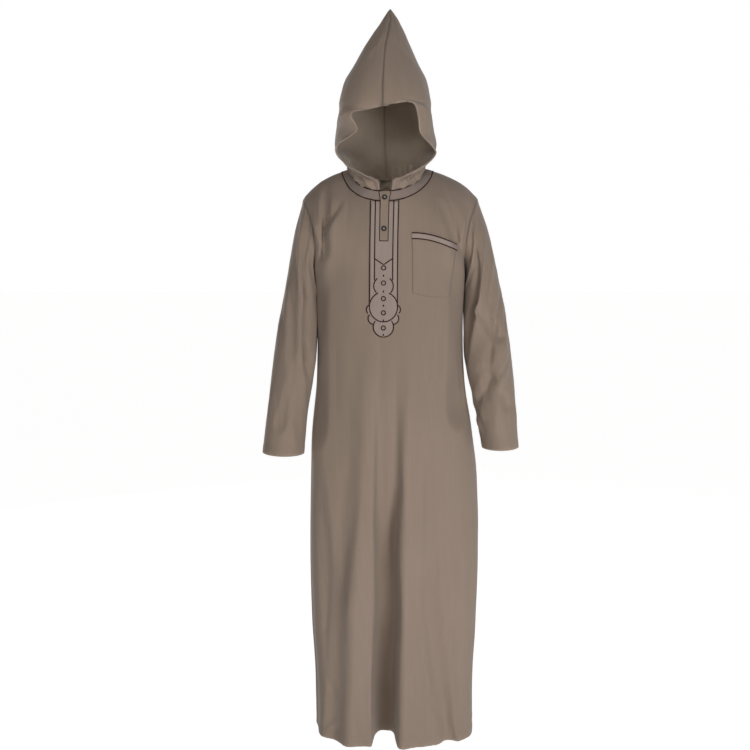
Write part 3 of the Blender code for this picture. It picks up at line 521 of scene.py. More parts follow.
# %% A crease and its shape
# x_top z_top x_low z_low bend width_left width_right height_top height_middle height_low
FRONT_CREASES = (
    # from the shoulder to the wearer's right armpit
    (-0.158, -0.060, -0.166, -0.196, 0.004, 0.006, 0.010, -3.0, -10.0, -9.0),
    (-0.184, -0.080, -0.167, -0.170, 0.000, 0.006, 0.005, 1.0, 5.0, 3.0),
    (-0.108, -0.084, -0.164, -0.210, -0.006, 0.008, 0.024, 1.5, 5.0, 4.0),
    (-0.112, -0.072, -0.152, -0.150, -0.004, 0.007, 0.007, -0.5, -4.5, 0.0),
    (-0.150, -0.200, -0.164, -0.300, 0.004, 0.012, 0.018, 0.0, 2.2, 0.0),
    # from the shoulder to the wearer's left armpit
    (0.126, -0.046, 0.167, -0.176, 0.007, 0.018, 0.006, -1.0, -8.0, -9.0),
    (0.172, -0.074, 0.170, -0.150, 0.002, 0.006, 0.006, 1.0, 4.5, 2.5),
    (0.104, -0.050, 0.152, -0.110, 0.004, 0.010, 0.012, 0.5, 3.5, 2.0),
    (0.166, -0.160, 0.172, -0.300, 0.002, 0.016, 0.006, 1.0, 3.0, 1.0),
    (0.136, -0.210, 0.150, -0.360, 0.004, 0.014, 0.010, 0.0, -2.0, -1.0),
    # beside the arms
    (-0.152, -0.340, -0.182, -0.640, 0.000, 0.009, 0.032, 1.0, 5.0, 3.0),
    (-0.163, -0.290, -0.166, -0.400, 0.000, 0.007, 0.007, 0.0, -2.0, 0.0),
    (-0.120, -0.330, -0.132, -0.600, -0.004, 0.014, 0.012, 0.0, -2.2, 0.0),
    (0.146, -0.330, 0.176, -0.620, 0.002, 0.020, 0.008, 0.5, 3.0, 1.5),
    # across the belly, faint
    (-0.088, -0.180, -0.082, -0.420, 0.004, 0.018, 0.014, 0.0, 1.6, 0.0),
    (0.104, -0.330, 0.112, -0.560, 0.003, 0.012, 0.014, 0.0, 2.0, 0.0),
    (0.088, -0.350, 0.090, -0.640, 0.000, 0.008, 0.014, 0.0, -2.4, -1.0),
    (0.014, -0.410, 0.014, -0.660, 0.000, 0.014, 0.010, 0.0, -3.0, -1.5),
    # down the skirt: the lit side of the right knee's fold, then the left one's
    (-0.046, -0.330, -0.084, -1.040, 0.002, 0.040, 0.042, 1.5, 11.0, 16.0),
    (-0.084, -1.040, -0.102, -1.430, 0.001, 0.040, 0.042, 16.0, 16.0, 13.0),
    (-0.020, -0.340, -0.030, -0.985, -0.004, 0.008, 0.020, -0.5, -4.5, -4.5),
    (-0.030, -0.985, -0.032, -1.430, 0.000, 0.008, 0.020, -4.5, -4.0, -3.0),
    (0.020, -0.420, 0.024, -1.430, 0.000, 0.052, 0.020, 1.0, 8.0, 6.0),
    (0.044, -0.340, 0.036, -0.900, 0.001, 0.012, 0.044, 1.5, 8.0, 11.0),
    (0.036, -0.900, 0.034, -1.430, 0.001, 0.012, 0.044, 11.0, 11.0, 8.0),
    (0.092, -0.560, 0.088, -1.010, 0.000, 0.007, 0.018, 0.0, -5.0, -3.0),
    (0.084, -1.010, 0.112, -1.300, 0.004, 0.010, 0.012, -2.0, -3.5, -2.0),
    (0.118, -0.640, 0.128, -1.060, 0.002, 0.014, 0.016, 0.0, 2.6, 2.0),
    (0.134, -0.780, 0.176, -1.300, 0.006, 0.014, 0.010, -1.0, -3.2, -2.0),
    (0.168, -0.760, 0.190, -1.280, 0.004, 0.012, 0.014, 0.0, 2.2, 1.0),
    (-0.174, -0.600, -0.126, -1.090, 0.002, 0.010, 0.014, 0.0, 2.4, 1.0),
    (-0.190, -0.800, -0.172, -1.240, 0.002, 0.014, 0.014, 0.0, 2.6, 1.0),
    (-0.158, -0.900, -0.166, -1.260, 0.000, 0.010, 0.014, 0.0, -2.0, -1.0),
    # slanting ones above the hem
    (0.046, -1.180, 0.160, -1.395, -0.006, 0.009, 0.007, -0.5, -2.6, -1.5),
    (0.060, -1.150, 0.110, -1.255, -0.003, 0.007, 0.008, 0.0, 2.0, 0.5),
    (0.030, -1.220, 0.080, -1.340, -0.004, 0.007, 0.007, 0.0, -1.6, 0.0),
    (0.110, -1.250, 0.128, -1.420, 0.002, 0.010, 0.010, 0.0, 2.4, 2.0),
    (-0.166, -1.245, -0.128, -1.310, 0.002, 0.009, 0.007, 0.0, -3.0, 0.0),
    (-0.120, -1.340, -0.170, -1.410, 0.003, 0.008, 0.008, 0.0, 2.0, 0.5),
    (-0.090, -1.300, -0.076, -1.430, 0.001, 0.009, 0.010, 0.0, -1.8, -1.2),
)
BACK_CREASES = (
    (-0.060, -0.070, -0.150, -0.200, -0.012, 0.012, 0.020, 0.5, 3.6, 3.0),
    (0.066, -0.074, 0.152, -0.196, 0.012, 0.020, 0.012, 0.5, 3.8, 3.0),
    (-0.120, -0.060, -0.166, -0.205, 0.006, 0.007, 0.008, -1.0, -4.6, -4.0),
    (0.124, -0.062, 0.168, -0.205, -0.006, 0.008, 0.007, -1.0, -4.2, -4.0),
    (-0.090, -0.130, -0.120, -0.300, -0.010, 0.014, 0.018, 0.0, -2.4, 0.0),
    (0.060, -0.140, 0.104, -0.330, 0.010, 0.018, 0.014, 0.0, -2.6, 0.0),
    (-0.040, -0.160, -0.064, -0.420, 0.006, 0.018, 0.026, 0.0, 2.2, 0.0),
    (0.024, -0.220, 0.034, -0.640, -0.006, 0.014, 0.022, 0.0, 2.8, 1.6),
    (0.110, -0.340, 0.140, -0.700, -0.010, 0.018, 0.012, 0.0, 3.0, 0.5),
    (-0.130, -0.360, -0.150, -0.760, 0.012, 0.012, 0.018, 0.0, 3.4, 0.5),
    (-0.064, -0.520, -0.058, -1.440, 0.008, 0.012, 0.024, 0.0, 5.0, 5.0),
    (0.032, -0.580, 0.044, -1.440, -0.008, 0.022, 0.012, 0.0, 5.0, 4.4),
    (-0.006, -0.640, 0.000, -1.440, 0.006, 0.012, 0.010, 0.0, -3.0, -2.0),
    (0.132, -0.640, 0.150, -1.440, 0.008, 0.012, 0.022, 0.0, 4.0, 4.0),
    (-0.150, -0.740, -0.170, -1.440, -0.006, 0.020, 0.012, 0.0, 4.0, 4.0),
    (-0.104, -0.900, -0.118, -1.440, 0.004, 0.009, 0.012, 0.0, -2.6, -2.0),
    (0.076, -1.200, 0.020, -1.380, 0.006, 0.008, 0.010, 0.0, 2.4, 0.0),
    (-0.120, -1.180, -0.070, -1.370, 0.006, 0.010, 0.008, 0.0, -2.2, 0.0),
)


def crease_height(creases, x, z):
    """The height of all creases at each place, in metres.

    Each is highest on its own line, and the cloth gives way a little on both sides of it.
    """
    total = np.zeros(np.broadcast(x, z).shape)
    for x_top, z_top, x_low, z_low, bend, width_left, width_right, top, middle, low in creases:
        way_x, way_z = x_low - x_top, z_low - z_top
        length = math.hypot(way_x, way_z)
        gone_x, gone_z = x - x_top, z - z_top
        share = (gone_x * way_x + gone_z * way_z) / length**2
        inside = np.clip(share, 0, 1)
        aside = (gone_x * way_z - gone_z * way_x) / length + 4 * bend * inside * (1 - inside)
        beyond = (share - inside) * length / (1.5 * (width_left + width_right))
        away = np.hypot(aside / np.where(aside > 0, width_left, width_right), beyond)
        upper, lower = smooth(2 * inside), smooth(2 * inside - 1)
        height = np.where(inside < 0.5, mix(top, middle, upper), mix(middle, low, lower))
        beside_it = 0.28 * np.exp(-((away - 2.1) ** 2))
        total += height * MM * (np.exp(-1.4 * away**1.6) - beside_it)
    return total


print(len(FRONT_CREASES) + len(BACK_CREASES), "creases on the body")


# %% [markdown]
# ## Small unevenness
# Between its creases, wool is never flat: it ripples by about a millimetre. A sum of a few
# waves with drawn directions gives such a surface, the same at every run, because the draw
# is seeded. Long wavelengths run down the cloth, since it hangs.


# %% Ripples
def ripples(seed, x, z, wide, tall, height, waves=14):
    """Soft hills about this wide and this tall."""
    draw = np.random.default_rng(seed)
    total = np.zeros(np.broadcast(x, z).shape)
    for _ in range(waves):
        turn, phase, size = draw.uniform(-1, 1), draw.uniform(0, math.tau), draw.uniform(0.7, 1.5)
        across = math.sqrt(max(0.0, 1 - turn * turn)) / (wide * size)
        total += np.sin(math.tau * (x * across + z * turn / (tall * size)) + phase)
    return total * height / math.sqrt(waves)


def seam_puff(distance, height=0.9 * MM, rise=0.006, fall=0.022):
    """Cloth dips into a seam and puffs up beside it. The distance is in metres."""
    return height * smooth(distance / rise) * (1 - smooth((distance - rise) / fall))


def settles(distance, over=0.012):
    """0 on a seam and 1 away from it, so that sewn edges stay together."""
    return smooth(distance / over)


def beside(distance, reach):
    """1 on a line or an edge, fading away within this reach."""
    return np.exp(-((distance / reach) ** 2))


def turned_edge(distance, fold, step=0.5 * MM, groove=0.7 * MM, over=0.004, stitched=0.0025):
    """A hem, folded and stitched this far from its edge.

    It gives the hem's height, with a groove along its stitches, and the cloth's thickness,
    which is 1 where it is double and 0.5 elsewhere.
    """
    folded = 1 - smooth((distance - fold) / over)
    return step * folded - groove * beside(distance - fold, stitched), mix(0.5, 1.0, folded)


print("ripples, seams and turned edges are ready")


# %% [markdown]
# ## Weaving a sheet
# Every piece is one grid of points with a second skin inside it. The grid's own running
# lengths become its UV map, in metres, so that one weave fits every piece at the same
# scale. Solidify gives the thickness, inward, and puts the inner side in a second slot.


# %% The sheet maker
def facing(points, outward, around=False):
    """The way that the cloth faces at each point of its grid."""
    along = np.gradient(points, axis=0)
    if around:
        across = np.roll(points, -1, axis=1) - np.roll(points, 1, axis=1)
    else:
        across = np.gradient(points, axis=1)
    normal = np.cross(across, along) * outward
    return normal / np.maximum(np.linalg.norm(normal, axis=2, keepdims=True), 1e-12)


def running_lengths(points, around=False):
    """How far across and along the cloth each point lies, in metres."""
    wide = np.concatenate([points, points[:, :1]], axis=1) if around else points
    across = np.linalg.norm(np.diff(wide, axis=1), axis=2).mean(axis=0)
    along = np.linalg.norm(np.diff(points, axis=0), axis=2).mean(axis=1)
    u = np.concatenate([[0], np.cumsum(across)])
    v = np.concatenate([[0], np.cumsum(along)])
    return np.meshgrid(u - u[-1] / 2, v)


def grid_object(name, points, outward=1, around=False):
    """A mesh with one face for each cell of the grid, and its UV map in metres of cloth."""
    rows, columns = points.shape[:2]
    cells = columns if around else columns - 1
    i, j = np.meshgrid(np.arange(rows - 1), np.arange(cells), indexing="ij")
    corners = [(i, j), (i, j + 1), (i + 1, j + 1), (i + 1, j)]
    if outward < 0:
        corners.reverse()
    faces = np.stack([a * columns + b % columns for a, b in corners], axis=-1).reshape(-1, 4)
    mesh = bpy.data.meshes.new(name)
    mesh.from_pydata(points.reshape(-1, 3).tolist(), [], faces.tolist())
    u, v = running_lengths(points, around)
    flat = np.stack([np.stack([u[a, b], v[a, b]], axis=-1) for a, b in corners], axis=2)
    mesh.uv_layers.new(name="cloth").data.foreach_set("uv", flat.reshape(-1))
    mesh.shade_smooth()
    made = bpy.data.objects.new(name, mesh)
    bpy.context.scene.collection.objects.link(made)
    return made


def paint_wear_and_light(sheet, tone):
    """How much paler (above 0) or darker each point of the cloth is painted than its own colour: rubbed
    hems and cuffs as real wear, the hood's rim as a painted highlight, seams as painted shade.
    """
    values = sheet.data.attributes.new("wear_and_painted_light", "FLOAT", "POINT")
    values.data.foreach_set("value", np.asarray(tone, float).reshape(-1))


def thicken(sheet, thickness, hem_weight=None):
    """Gives a sheet its inner side. hem_weight is 1 where the cloth is folded double, 0.5 elsewhere."""
    skin = sheet.modifiers.new("thickness", "SOLIDIFY")
    skin.offset = -1
    skin.thickness = thickness
    skin.material_offset = 1
    skin.use_rim = True
    if hem_weight is not None:
        group = sheet.vertex_groups.new(name="folded_double")
        for weight in np.unique(np.round(hem_weight, 2)):
            where = np.flatnonzero(np.round(hem_weight.reshape(-1), 2) == weight)
            group.add(where.tolist(), float(weight), "REPLACE")
        skin.thickness = 2 * thickness
        skin.vertex_group = group.name
    return sheet


def lined(sheet, outside, inside=None):
    """The first slot is the cloth's outer side, the second the inner side that Solidify adds."""
    for material in (outside, inside or outside):
        sheet.data.materials.append(material)


def welded(mesh):
    """Joins points in the same place, such as a row that has shrunk to a single point."""
    shape = bmesh.new()
    shape.from_mesh(mesh)
    bmesh.ops.remove_doubles(shape, verts=shape.verts, dist=1e-6)
    shape.to_mesh(mesh)
    shape.free()


def area_of(points, around=False):
    """The area of a grid of cloth, in square metres."""
    if around:
        points = np.concatenate([points, points[:, :1]], axis=1)
    a, b, c, d = points[:-1, :-1], points[:-1, 1:], points[1:, 1:], points[1:, :-1]
    return float(np.linalg.norm(np.cross(c - a, d - b), axis=2).sum() / 2)


print("the sheet maker is ready")

# %% [markdown]
# ## Materials: the wool blend
# The cloth is a matt twill of wool and polyester in a greyed sand colour. Close up, fine
# slanting ribs run across it, the yarn is a little uneven, and a thin fuzz catches light at
# grazing angles. The ribs come from sine waves on the UV map, which is in metres, so they
# are real size. The fuzz is the shader's own sheen. Noise at three scales breaks the colour.


# %% Small helpers for shader nodes
def new_material(name, roughness, sheen=0.0, coat=0.0):
    made = bpy.data.materials.new(name)
    made.use_nodes = True
    shader = made.node_tree.nodes["Principled BSDF"]
    shader.inputs["Roughness"].default_value = roughness
    shader.inputs["Specular IOR Level"].default_value = 0.25
    shader.inputs["Sheen Weight"].default_value = sheen
    shader.inputs["Sheen Roughness"].default_value = 0.5
    shader.inputs["Coat Weight"].default_value = coat
    return made, made.node_tree, shader


def add_node(tree, kind, links=(), **settings):
    """A node with its inputs linked by name or number, and its settings by name."""
    node = tree.nodes.new("ShaderNode" + kind)
    for name, value in settings.items():
        if hasattr(node, name):
            setattr(node, name, value)
        else:
            node.inputs[name.replace("_", " ")].default_value = value
    for socket, source in dict(links).items():
        tree.links.new(source, node.inputs[socket])
    return node


def arithmetic(tree, operation, *values):
    """One step of arithmetic. The values are sockets or numbers."""
    node = tree.nodes.new("ShaderNodeMath")
    node.operation = operation
    for socket, value in zip(node.inputs, values):
        if isinstance(value, (int, float)):
            socket.default_value = value
        else:
            tree.links.new(value, socket)
    return node.outputs["Value"]


def added_up(tree, *parts, base=0.0):
    """The base plus every part times its share. A part is a pair of a socket and a share."""
    total = base
    for source, share in parts:
        total = arithmetic(tree, "MULTIPLY_ADD", source, share, total)
    return total


def noise(tree, where, scale, stretch=(1, 1, 1), detail=2.0):
    """Noise on the cloth, with about this many spots to a metre."""
    place = add_node(tree, "Mapping", {"Vector": where}, Scale=stretch).outputs["Vector"]
    spots = add_node(tree, "TexNoise", {"Vector": place}, Scale=scale, Detail=detail)
    return spots.outputs["Fac"]


def wave(tree, where, turns_u, turns_v):
    """A sine wave on the UV map, with this many turns to a metre each way."""
    parts = add_node(tree, "SeparateXYZ", {"Vector": where})
    u, v = parts.outputs["X"], parts.outputs["Y"]
    return arithmetic(tree, "SINE", added_up(tree, (u, turns_u * math.tau), (v, turns_v * math.tau)))


def dye(tree, shader, colour, tone):
    """The shader's colour, made paler or darker from place to place by a tone around 1."""
    dyed = add_node(tree, "HueSaturation", {"Value": tone}, Color=(*colour, 1))
    tree.links.new(dyed.outputs["Color"], shader.inputs["Base Color"])


def roughen(tree, shader, height, strength, distance):
    """Fine relief, up to this many metres high."""
    bump = add_node(tree, "Bump", {"Height": height}, Strength=strength, Distance=distance)
    tree.links.new(bump.outputs["Normal"], shader.inputs["Normal"])


print("node helpers are ready")


# %% The cloth material
WEAR_AND_LIGHT_SHARE = 0.30  # a rubbed hem or cuff is up to this much paler as real wear, the hood's folded rim as much paler as a painted highlight, and a seam about as much darker as painted shade


def cloth_material(name, colour, rib=560, weft=900, depth=0.25, mottling=0.10, sheen=0.22):
    """Twill: slanting ribs over a finer weft, with yarn that varies in tone."""
    made, tree, shader = new_material(name, 0.92, sheen)
    where = add_node(tree, "TexCoord").outputs["UV"]
    broad = noise(tree, where, 5.0, (1, 0.45, 1), 3.0)
    streak = noise(tree, where, 160.0, (1, 0.06, 1), 2.0)
    fleck = noise(tree, where, 700.0, (1, 0.6, 1), 2.0)
    ribs = wave(tree, where, rib, rib * 0.6)
    threads = wave(tree, where, 0, weft)
    # this attribute holds real wear on rubbed hems and cuffs, a painted highlight along the hood's rim
    # and painted shade along the seams
    wear_and_painted_light = add_node(tree, "Attribute", attribute_name="wear_and_painted_light").outputs["Fac"]
    # noise is 0.5 on average, so the base takes half of each noise's share off again
    mottles = ((broad, 1.6 * mottling), (streak, mottling), (fleck, 1.2 * mottling))
    base = 1.0 - 0.5 * sum(share for _, share in mottles)
    dye(tree, shader, colour, added_up(tree, *mottles, (ribs, 0.035), (wear_and_painted_light, WEAR_AND_LIGHT_SHARE), base=base))
    relief = added_up(tree, (ribs, 0.5), (threads, 0.3), (fleck, 1.4))
    roughen(tree, shader, relief, depth, 0.4 * MM)
    return made


WOOL = (0.270, 0.205, 0.160)
# the inner side is the same wool, painted lighter as light in the hood's deep inside and under the robe
WOOL_INSIDE_PAINTED_LIGHTER = (0.345, 0.275, 0.212)
FACING = (0.330, 0.262, 0.230)
# the band is the facing cloth, painted about a fifth darker as the shade that the hood casts on it
BAND_PAINTED_SHADE = (0.270, 0.212, 0.186)
wool = cloth_material("wool_twill", WOOL)
wool_inside_painted_lighter = cloth_material("wool_inside_painted_lighter", WOOL_INSIDE_PAINTED_LIGHTER, rib=420, mottling=0.13, sheen=0.3)
facing_cloth = cloth_material("facing_cloth", FACING, rib=760, mottling=0.14, depth=0.35, sheen=0.12)
band_cloth_in_painted_shade = cloth_material("band_cloth_in_painted_shade", BAND_PAINTED_SHADE, rib=760, mottling=0.14, depth=0.35, sheen=0.12)
print("four cloths are woven")

# %% [markdown]
# ## Thread, buttons and floor
# The ornament is sewn in a dark brown twisted thread, which shines a little along its
# strands, and a pale one zigzags between its lines. The seams are sewn in a thread of the
# cloth's own colour. The buttons are horn or resin with a dark rim and a milky middle.


# %% Thread, button and floor materials
def thread_material(name, colour, roughness, sheen):
    made, tree, shader = new_material(name, roughness, sheen)
    shader.inputs["Specular IOR Level"].default_value = 0.1
    where = add_node(tree, "TexCoord").outputs["Object"]
    strand = noise(tree, where, 2600.0)
    dye(tree, shader, colour, added_up(tree, (strand, 0.7), base=0.65))
    roughen(tree, shader, strand, 0.4, 0.2 * MM)
    return made


def resin_material(name, colour, cloud, roughness, coat):
    made, tree, shader = new_material(name, roughness, coat=coat)
    shader.inputs["Specular IOR Level"].default_value = 0.3
    shader.inputs["Coat Roughness"].default_value = 0.2
    where = add_node(tree, "TexCoord").outputs["Object"]
    swirl = noise(tree, where, 420.0, (1, 2.2, 1), 4.0)
    dye(tree, shader, colour, added_up(tree, (swirl, cloud), base=1 - cloud / 2))
    return made


dark_thread = thread_material("dark_thread", (0.030, 0.011, 0.007), 0.7, 0.05)
pale_thread = thread_material("pale_thread", (0.46, 0.39, 0.35), 0.7, 0.1)
seam_thread = thread_material("seam_thread", (0.215, 0.163, 0.128), 0.7, 0.2)
button_rim = resin_material("button_rim", (0.012, 0.010, 0.009), 0.8, 0.5, 0.15)
button_middle = resin_material("button_middle", (0.23, 0.22, 0.21), 0.5, 0.35, 0.4)

FLOOR_GREY, FLOOR_GLOW, FLOOR_SEEN = (0.32, 0.32, 0.32), 0.39, 0.54
floor_paint, floor_tree, floor_shader = new_material("floor_paint", 0.8)
where = add_node(floor_tree, "TexCoord").outputs["Object"]
grain = noise(floor_tree, where, 3.0)
dye(floor_tree, floor_shader, FLOOR_GREY, added_up(floor_tree, (grain, 0.02), base=0.99))
# the floor glows softly, which lights the folds from below, and the camera sees it as paper
floor_shader.inputs["Emission Color"].default_value = (1, 1, 1, 1)
seen = add_node(floor_tree, "LightPath").outputs["Is Camera Ray"]
glow = added_up(floor_tree, (seen, FLOOR_SEEN), base=FLOOR_GLOW)
floor_tree.links.new(glow, floor_shader.inputs["Emission Strength"])
print("thread, resin and floor paint are mixed")


# %% [markdown]
# ## The front and the back
# Each is one length of cloth from hem to shoulder, with half the neckline cut out of its
# top. It could be draped by simulation, but the folds of this garment are few and known, so
# its points are placed by formula, and creases and ripples are added along the way it faces.


# %% A body panel
PANEL_COLUMNS, SKIRT_ROWS, YOKE_ROWS = 156, 244, 56
HEM_FOLD, HEM_CRINKLE = 0.022, 0.09  # how far the hem is turned up, and crinkled
YOKE_TALL, HALF_PANEL = 0.21, 0.28
RUBBED, SHADED, WEAR_AND_SHADE_REACH = 0.8, 0.9, 0.004  # how much paler a rubbed hem is, how much darker a seam is painted as shade, and how wide both are


def relaxed(points, rows, times):
    """Softens a kink between two formulas: each row in this range moves towards its neighbours."""
    low, high = rows
    for _ in range(times):
        middle = (points[low - 1 : high - 1] + points[low + 1 : high + 1]) / 2
        points[low:high] = mix(points[low:high], middle, 0.5)
    return points


def body_points(face, seed):
    across = np.linspace(-1, 1, PANEL_COLUMNS + 1)
    levels = mix(HEM_Z, UNDERARM_Z, np.linspace(0, 1, SKIRT_ROWS, endpoint=False))
    rises = np.linspace(0, 1, YOKE_ROWS + 1)
    points = np.concatenate([skirt_point(face, across, levels), yoke_point(face, across, rises)])
    points[:, 1:-1] = relaxed(points[:, 1:-1].copy(), (SKIRT_ROWS - 8, SKIRT_ROWS + 12), 12)
    along = np.concatenate([levels - HEM_Z, (UNDERARM_Z - HEM_Z) + rises * YOKE_TALL])[:, None]
    x, z = points[..., 0], points[..., 2]
    side = (1 - np.abs(across))[None, :] * HALF_PANEL
    top = along[-1] - along
    edge = np.minimum(side, top)
    creases = FRONT_CREASES if face == 1 else BACK_CREASES
    relief = crease_height(creases, x, z)
    relief += ripples(seed, x, z, wide=0.075, tall=0.42, height=0.9 * MM)
    relief += ripples(seed + 1, x, z, wide=0.028, tall=0.12, height=0.30 * MM)
    crinkle = ripples(seed + 2, x, z, wide=0.016, tall=0.020, height=0.48 * MM)
    relief += crinkle * (1 - smooth(along / HEM_CRINKLE))
    relief *= settles(edge)
    relief += seam_puff(edge)
    hem = along + 0 * side
    turned, weight = turned_edge(hem, HEM_FOLD)
    relief += turned
    points += facing(points, face) * relief[..., None]
    # the hem is paler as real wear, and the side and top seams are painted darker as shade
    wear_and_painted_light = RUBBED * beside(hem, WEAR_AND_SHADE_REACH) - SHADED * beside(edge, WEAR_AND_SHADE_REACH) * smooth(hem / 0.01)
    return points, weight, wear_and_painted_light


def woollen(name, outward, points, weight, wear_and_painted_light, around=False):
    """A finished sheet of the robe's own cloth. Its grid and the way it faces are kept for later."""
    sheet = grid_object(name + "_cloth", points, outward, around)
    paint_wear_and_light(sheet, wear_and_painted_light)
    # the inner side takes the same wool painted lighter, as painted light
    lined(sheet, wool, wool_inside_painted_lighter)
    thicken(sheet, CLOTH, weight)
    print(name, "has", round(area_of(points, around), 3), "square metres of cloth")
    return SimpleNamespace(points=points, normals=facing(points, outward, around))


panels = {}
for name, face, seed in (("front_panel", 1, 11), ("back_panel", -1, 23)):
    panels[name] = woollen(name, face, *body_points(face, seed))

# %% [markdown]
# ## The sleeves
# A sleeve is a straight tube, sewn to the side of the body and widest at the top. The arm
# bends a little, so cloth gathers in slanting folds inside the elbow. The creases are drawn
# on the tube laid flat: degrees round the arm and share of its length.

# %% Sleeve creases
# angle_top t_top angle_low t_low bend width_left width_right height_top height_middle height_low
LEFT_SLEEVE_CREASES = (
    # beside the armhole, then the long fold down the inside of the arm
    (36, 0.00, 172, 0.25, 0.004, 0.010, 0.008, 1.0, 3.5, 2.0),
    (92, 0.09, 122, 0.44, -0.004, 0.006, 0.016, -2.0, -7.0, -8.0),
    (122, 0.44, 170, 0.66, 0.000, 0.006, 0.012, -8.0, -7.0, -3.0),
    (58, 0.14, 112, 0.46, 0.003, 0.016, 0.010, 1.0, 5.0, 5.0),
    (112, 0.46, 160, 0.72, 0.000, 0.016, 0.008, 5.0, 5.0, 2.5),
    (78, 0.50, 110, 0.76, -0.004, 0.012, 0.016, -2.0, -5.5, -4.0),
    (110, 0.76, 162, 0.85, 0.000, 0.012, 0.010, -4.0, -4.0, -4.5),
    # over the elbow
    (26, 0.28, 96, 0.50, 0.006, 0.012, 0.010, 0.5, 4.0, 3.0),
    (18, 0.46, 84, 0.64, 0.006, 0.009, 0.012, -1.0, -4.5, -2.5),
    (8, 0.54, 72, 0.74, 0.006, 0.012, 0.010, 0.5, 3.2, 1.0),
    (40, 0.70, 80, 0.745, 0.001, 0.005, 0.006, -1.0, -3.0, -1.0),
    # on the forearm
    (48, 0.68, 100, 0.90, 0.004, 0.012, 0.016, 1.0, 4.5, 1.5),
    (168, 0.79, 138, 0.92, 0.002, 0.006, 0.008, -2.0, -4.0, 0.0),
    (176, 0.86, 150, 0.96, 0.000, 0.007, 0.009, 1.0, 3.0, 0.5),
    (60, 0.84, 66, 0.97, 0.001, 0.010, 0.012, 0.0, -1.6, 0.0),
    (28, 0.80, 30, 0.97, 0.001, 0.012, 0.012, 0.0, 1.8, 0.0),
    # behind
    (-54, 0.40, -122, 0.58, 0.008, 0.012, 0.010, 0.0, 3.8, 0.0),
    (-48, 0.50, -130, 0.66, 0.008, 0.010, 0.012, 0.0, -4.0, 0.0),
    (-60, 0.60, -118, 0.78, 0.006, 0.012, 0.010, 0.0, 3.0, 0.0),
    (-100, 0.03, -80, 0.42, 0.004, 0.012, 0.016, 1.0, 3.2, 0.5),
    (-140, 0.02, -118, 0.32, 0.004, 0.008, 0.010, -3.0, -3.8, 0.0),
)
RIGHT_SLEEVE_CREASES = (
    # beside the armhole, then the long fold down the inside of the arm
    (44, 0.00, 88, 0.36, -0.004, 0.014, 0.014, 1.0, 3.8, 1.5),
    (80, 0.05, 116, 0.34, 0.002, 0.014, 0.010, -1.5, -5.0, -6.0),
    (116, 0.34, 128, 0.64, -0.003, 0.006, 0.013, -6.0, -6.5, -6.0),
    (128, 0.64, 168, 0.84, 0.000, 0.006, 0.012, -6.0, -5.0, -2.0),
    (96, 0.34, 112, 0.70, -0.002, 0.022, 0.008, 0.5, 3.4, 2.0),
    (112, 0.02, 154, 0.26, 0.003, 0.008, 0.008, 1.0, 3.5, 2.5),
    (154, 0.26, 158, 0.70, 0.000, 0.008, 0.008, 2.5, 3.0, 1.0),
    (142, 0.02, 166, 0.16, 0.002, 0.006, 0.006, -3.0, -4.0, -1.0),
    # over the elbow and on the forearm
    (16, 0.40, 70, 0.60, 0.006, 0.014, 0.012, 0.0, 2.0, 0.0),
    (12, 0.52, 66, 0.68, 0.006, 0.012, 0.014, 0.0, -2.2, 0.0),
    (78, 0.64, 104, 0.90, 0.002, 0.016, 0.016, 0.0, 2.6, 1.0),
    (104, 0.84, 130, 0.98, 0.001, 0.012, 0.010, 0.0, 2.6, 1.0),
    (60, 0.76, 74, 0.96, 0.001, 0.012, 0.012, 0.0, -1.8, -0.5),
    (28, 0.70, 34, 0.97, 0.001, 0.012, 0.014, 0.0, 1.8, 0.5),
    # behind
    (-56, 0.42, -124, 0.57, 0.008, 0.012, 0.010, 0.0, 3.8, 0.0),
    (-50, 0.52, -130, 0.64, 0.006, 0.010, 0.012, 0.0, -4.2, 0.0),
    (-62, 0.60, -116, 0.76, 0.006, 0.010, 0.012, 0.0, 3.0, 0.0),
    (-104, 0.03, -84, 0.40, 0.004, 0.012, 0.014, 1.0, 3.4, 0.5),
    (-142, 0.02, -116, 0.30, 0.004, 0.009, 0.010, -3.0, -3.8, 0.0),
)
print(len(LEFT_SLEEVE_CREASES) + len(RIGHT_SLEEVE_CREASES), "creases on the sleeves")

# %% The two sleeves
SLEEVE_ROWS, SLEEVE_COLUMNS_AROUND = 160, 112
ARM_ROUND, ARM_LONG = 0.40, 0.60
CUFF_FOLD, CUFF_CALM = 0.018, 0.35  # how far a cuff is turned up, and the share of a crease in it
GATHERED = 1.3  # the creases are this much deeper than in their table
REST = {1: 7.5 * MM, -1: 11.0 * MM}  # how far the cloth under each arm rests against the body


def flat_on_arm(rows):
    """Turns degrees and shares of a sleeve's length into metres on the flat cloth."""
    return [
        (a / 360 * ARM_ROUND, -t * ARM_LONG, b / 360 * ARM_ROUND, -w * ARM_LONG, *shape)
        for a, t, b, w, *shape in rows
    ]


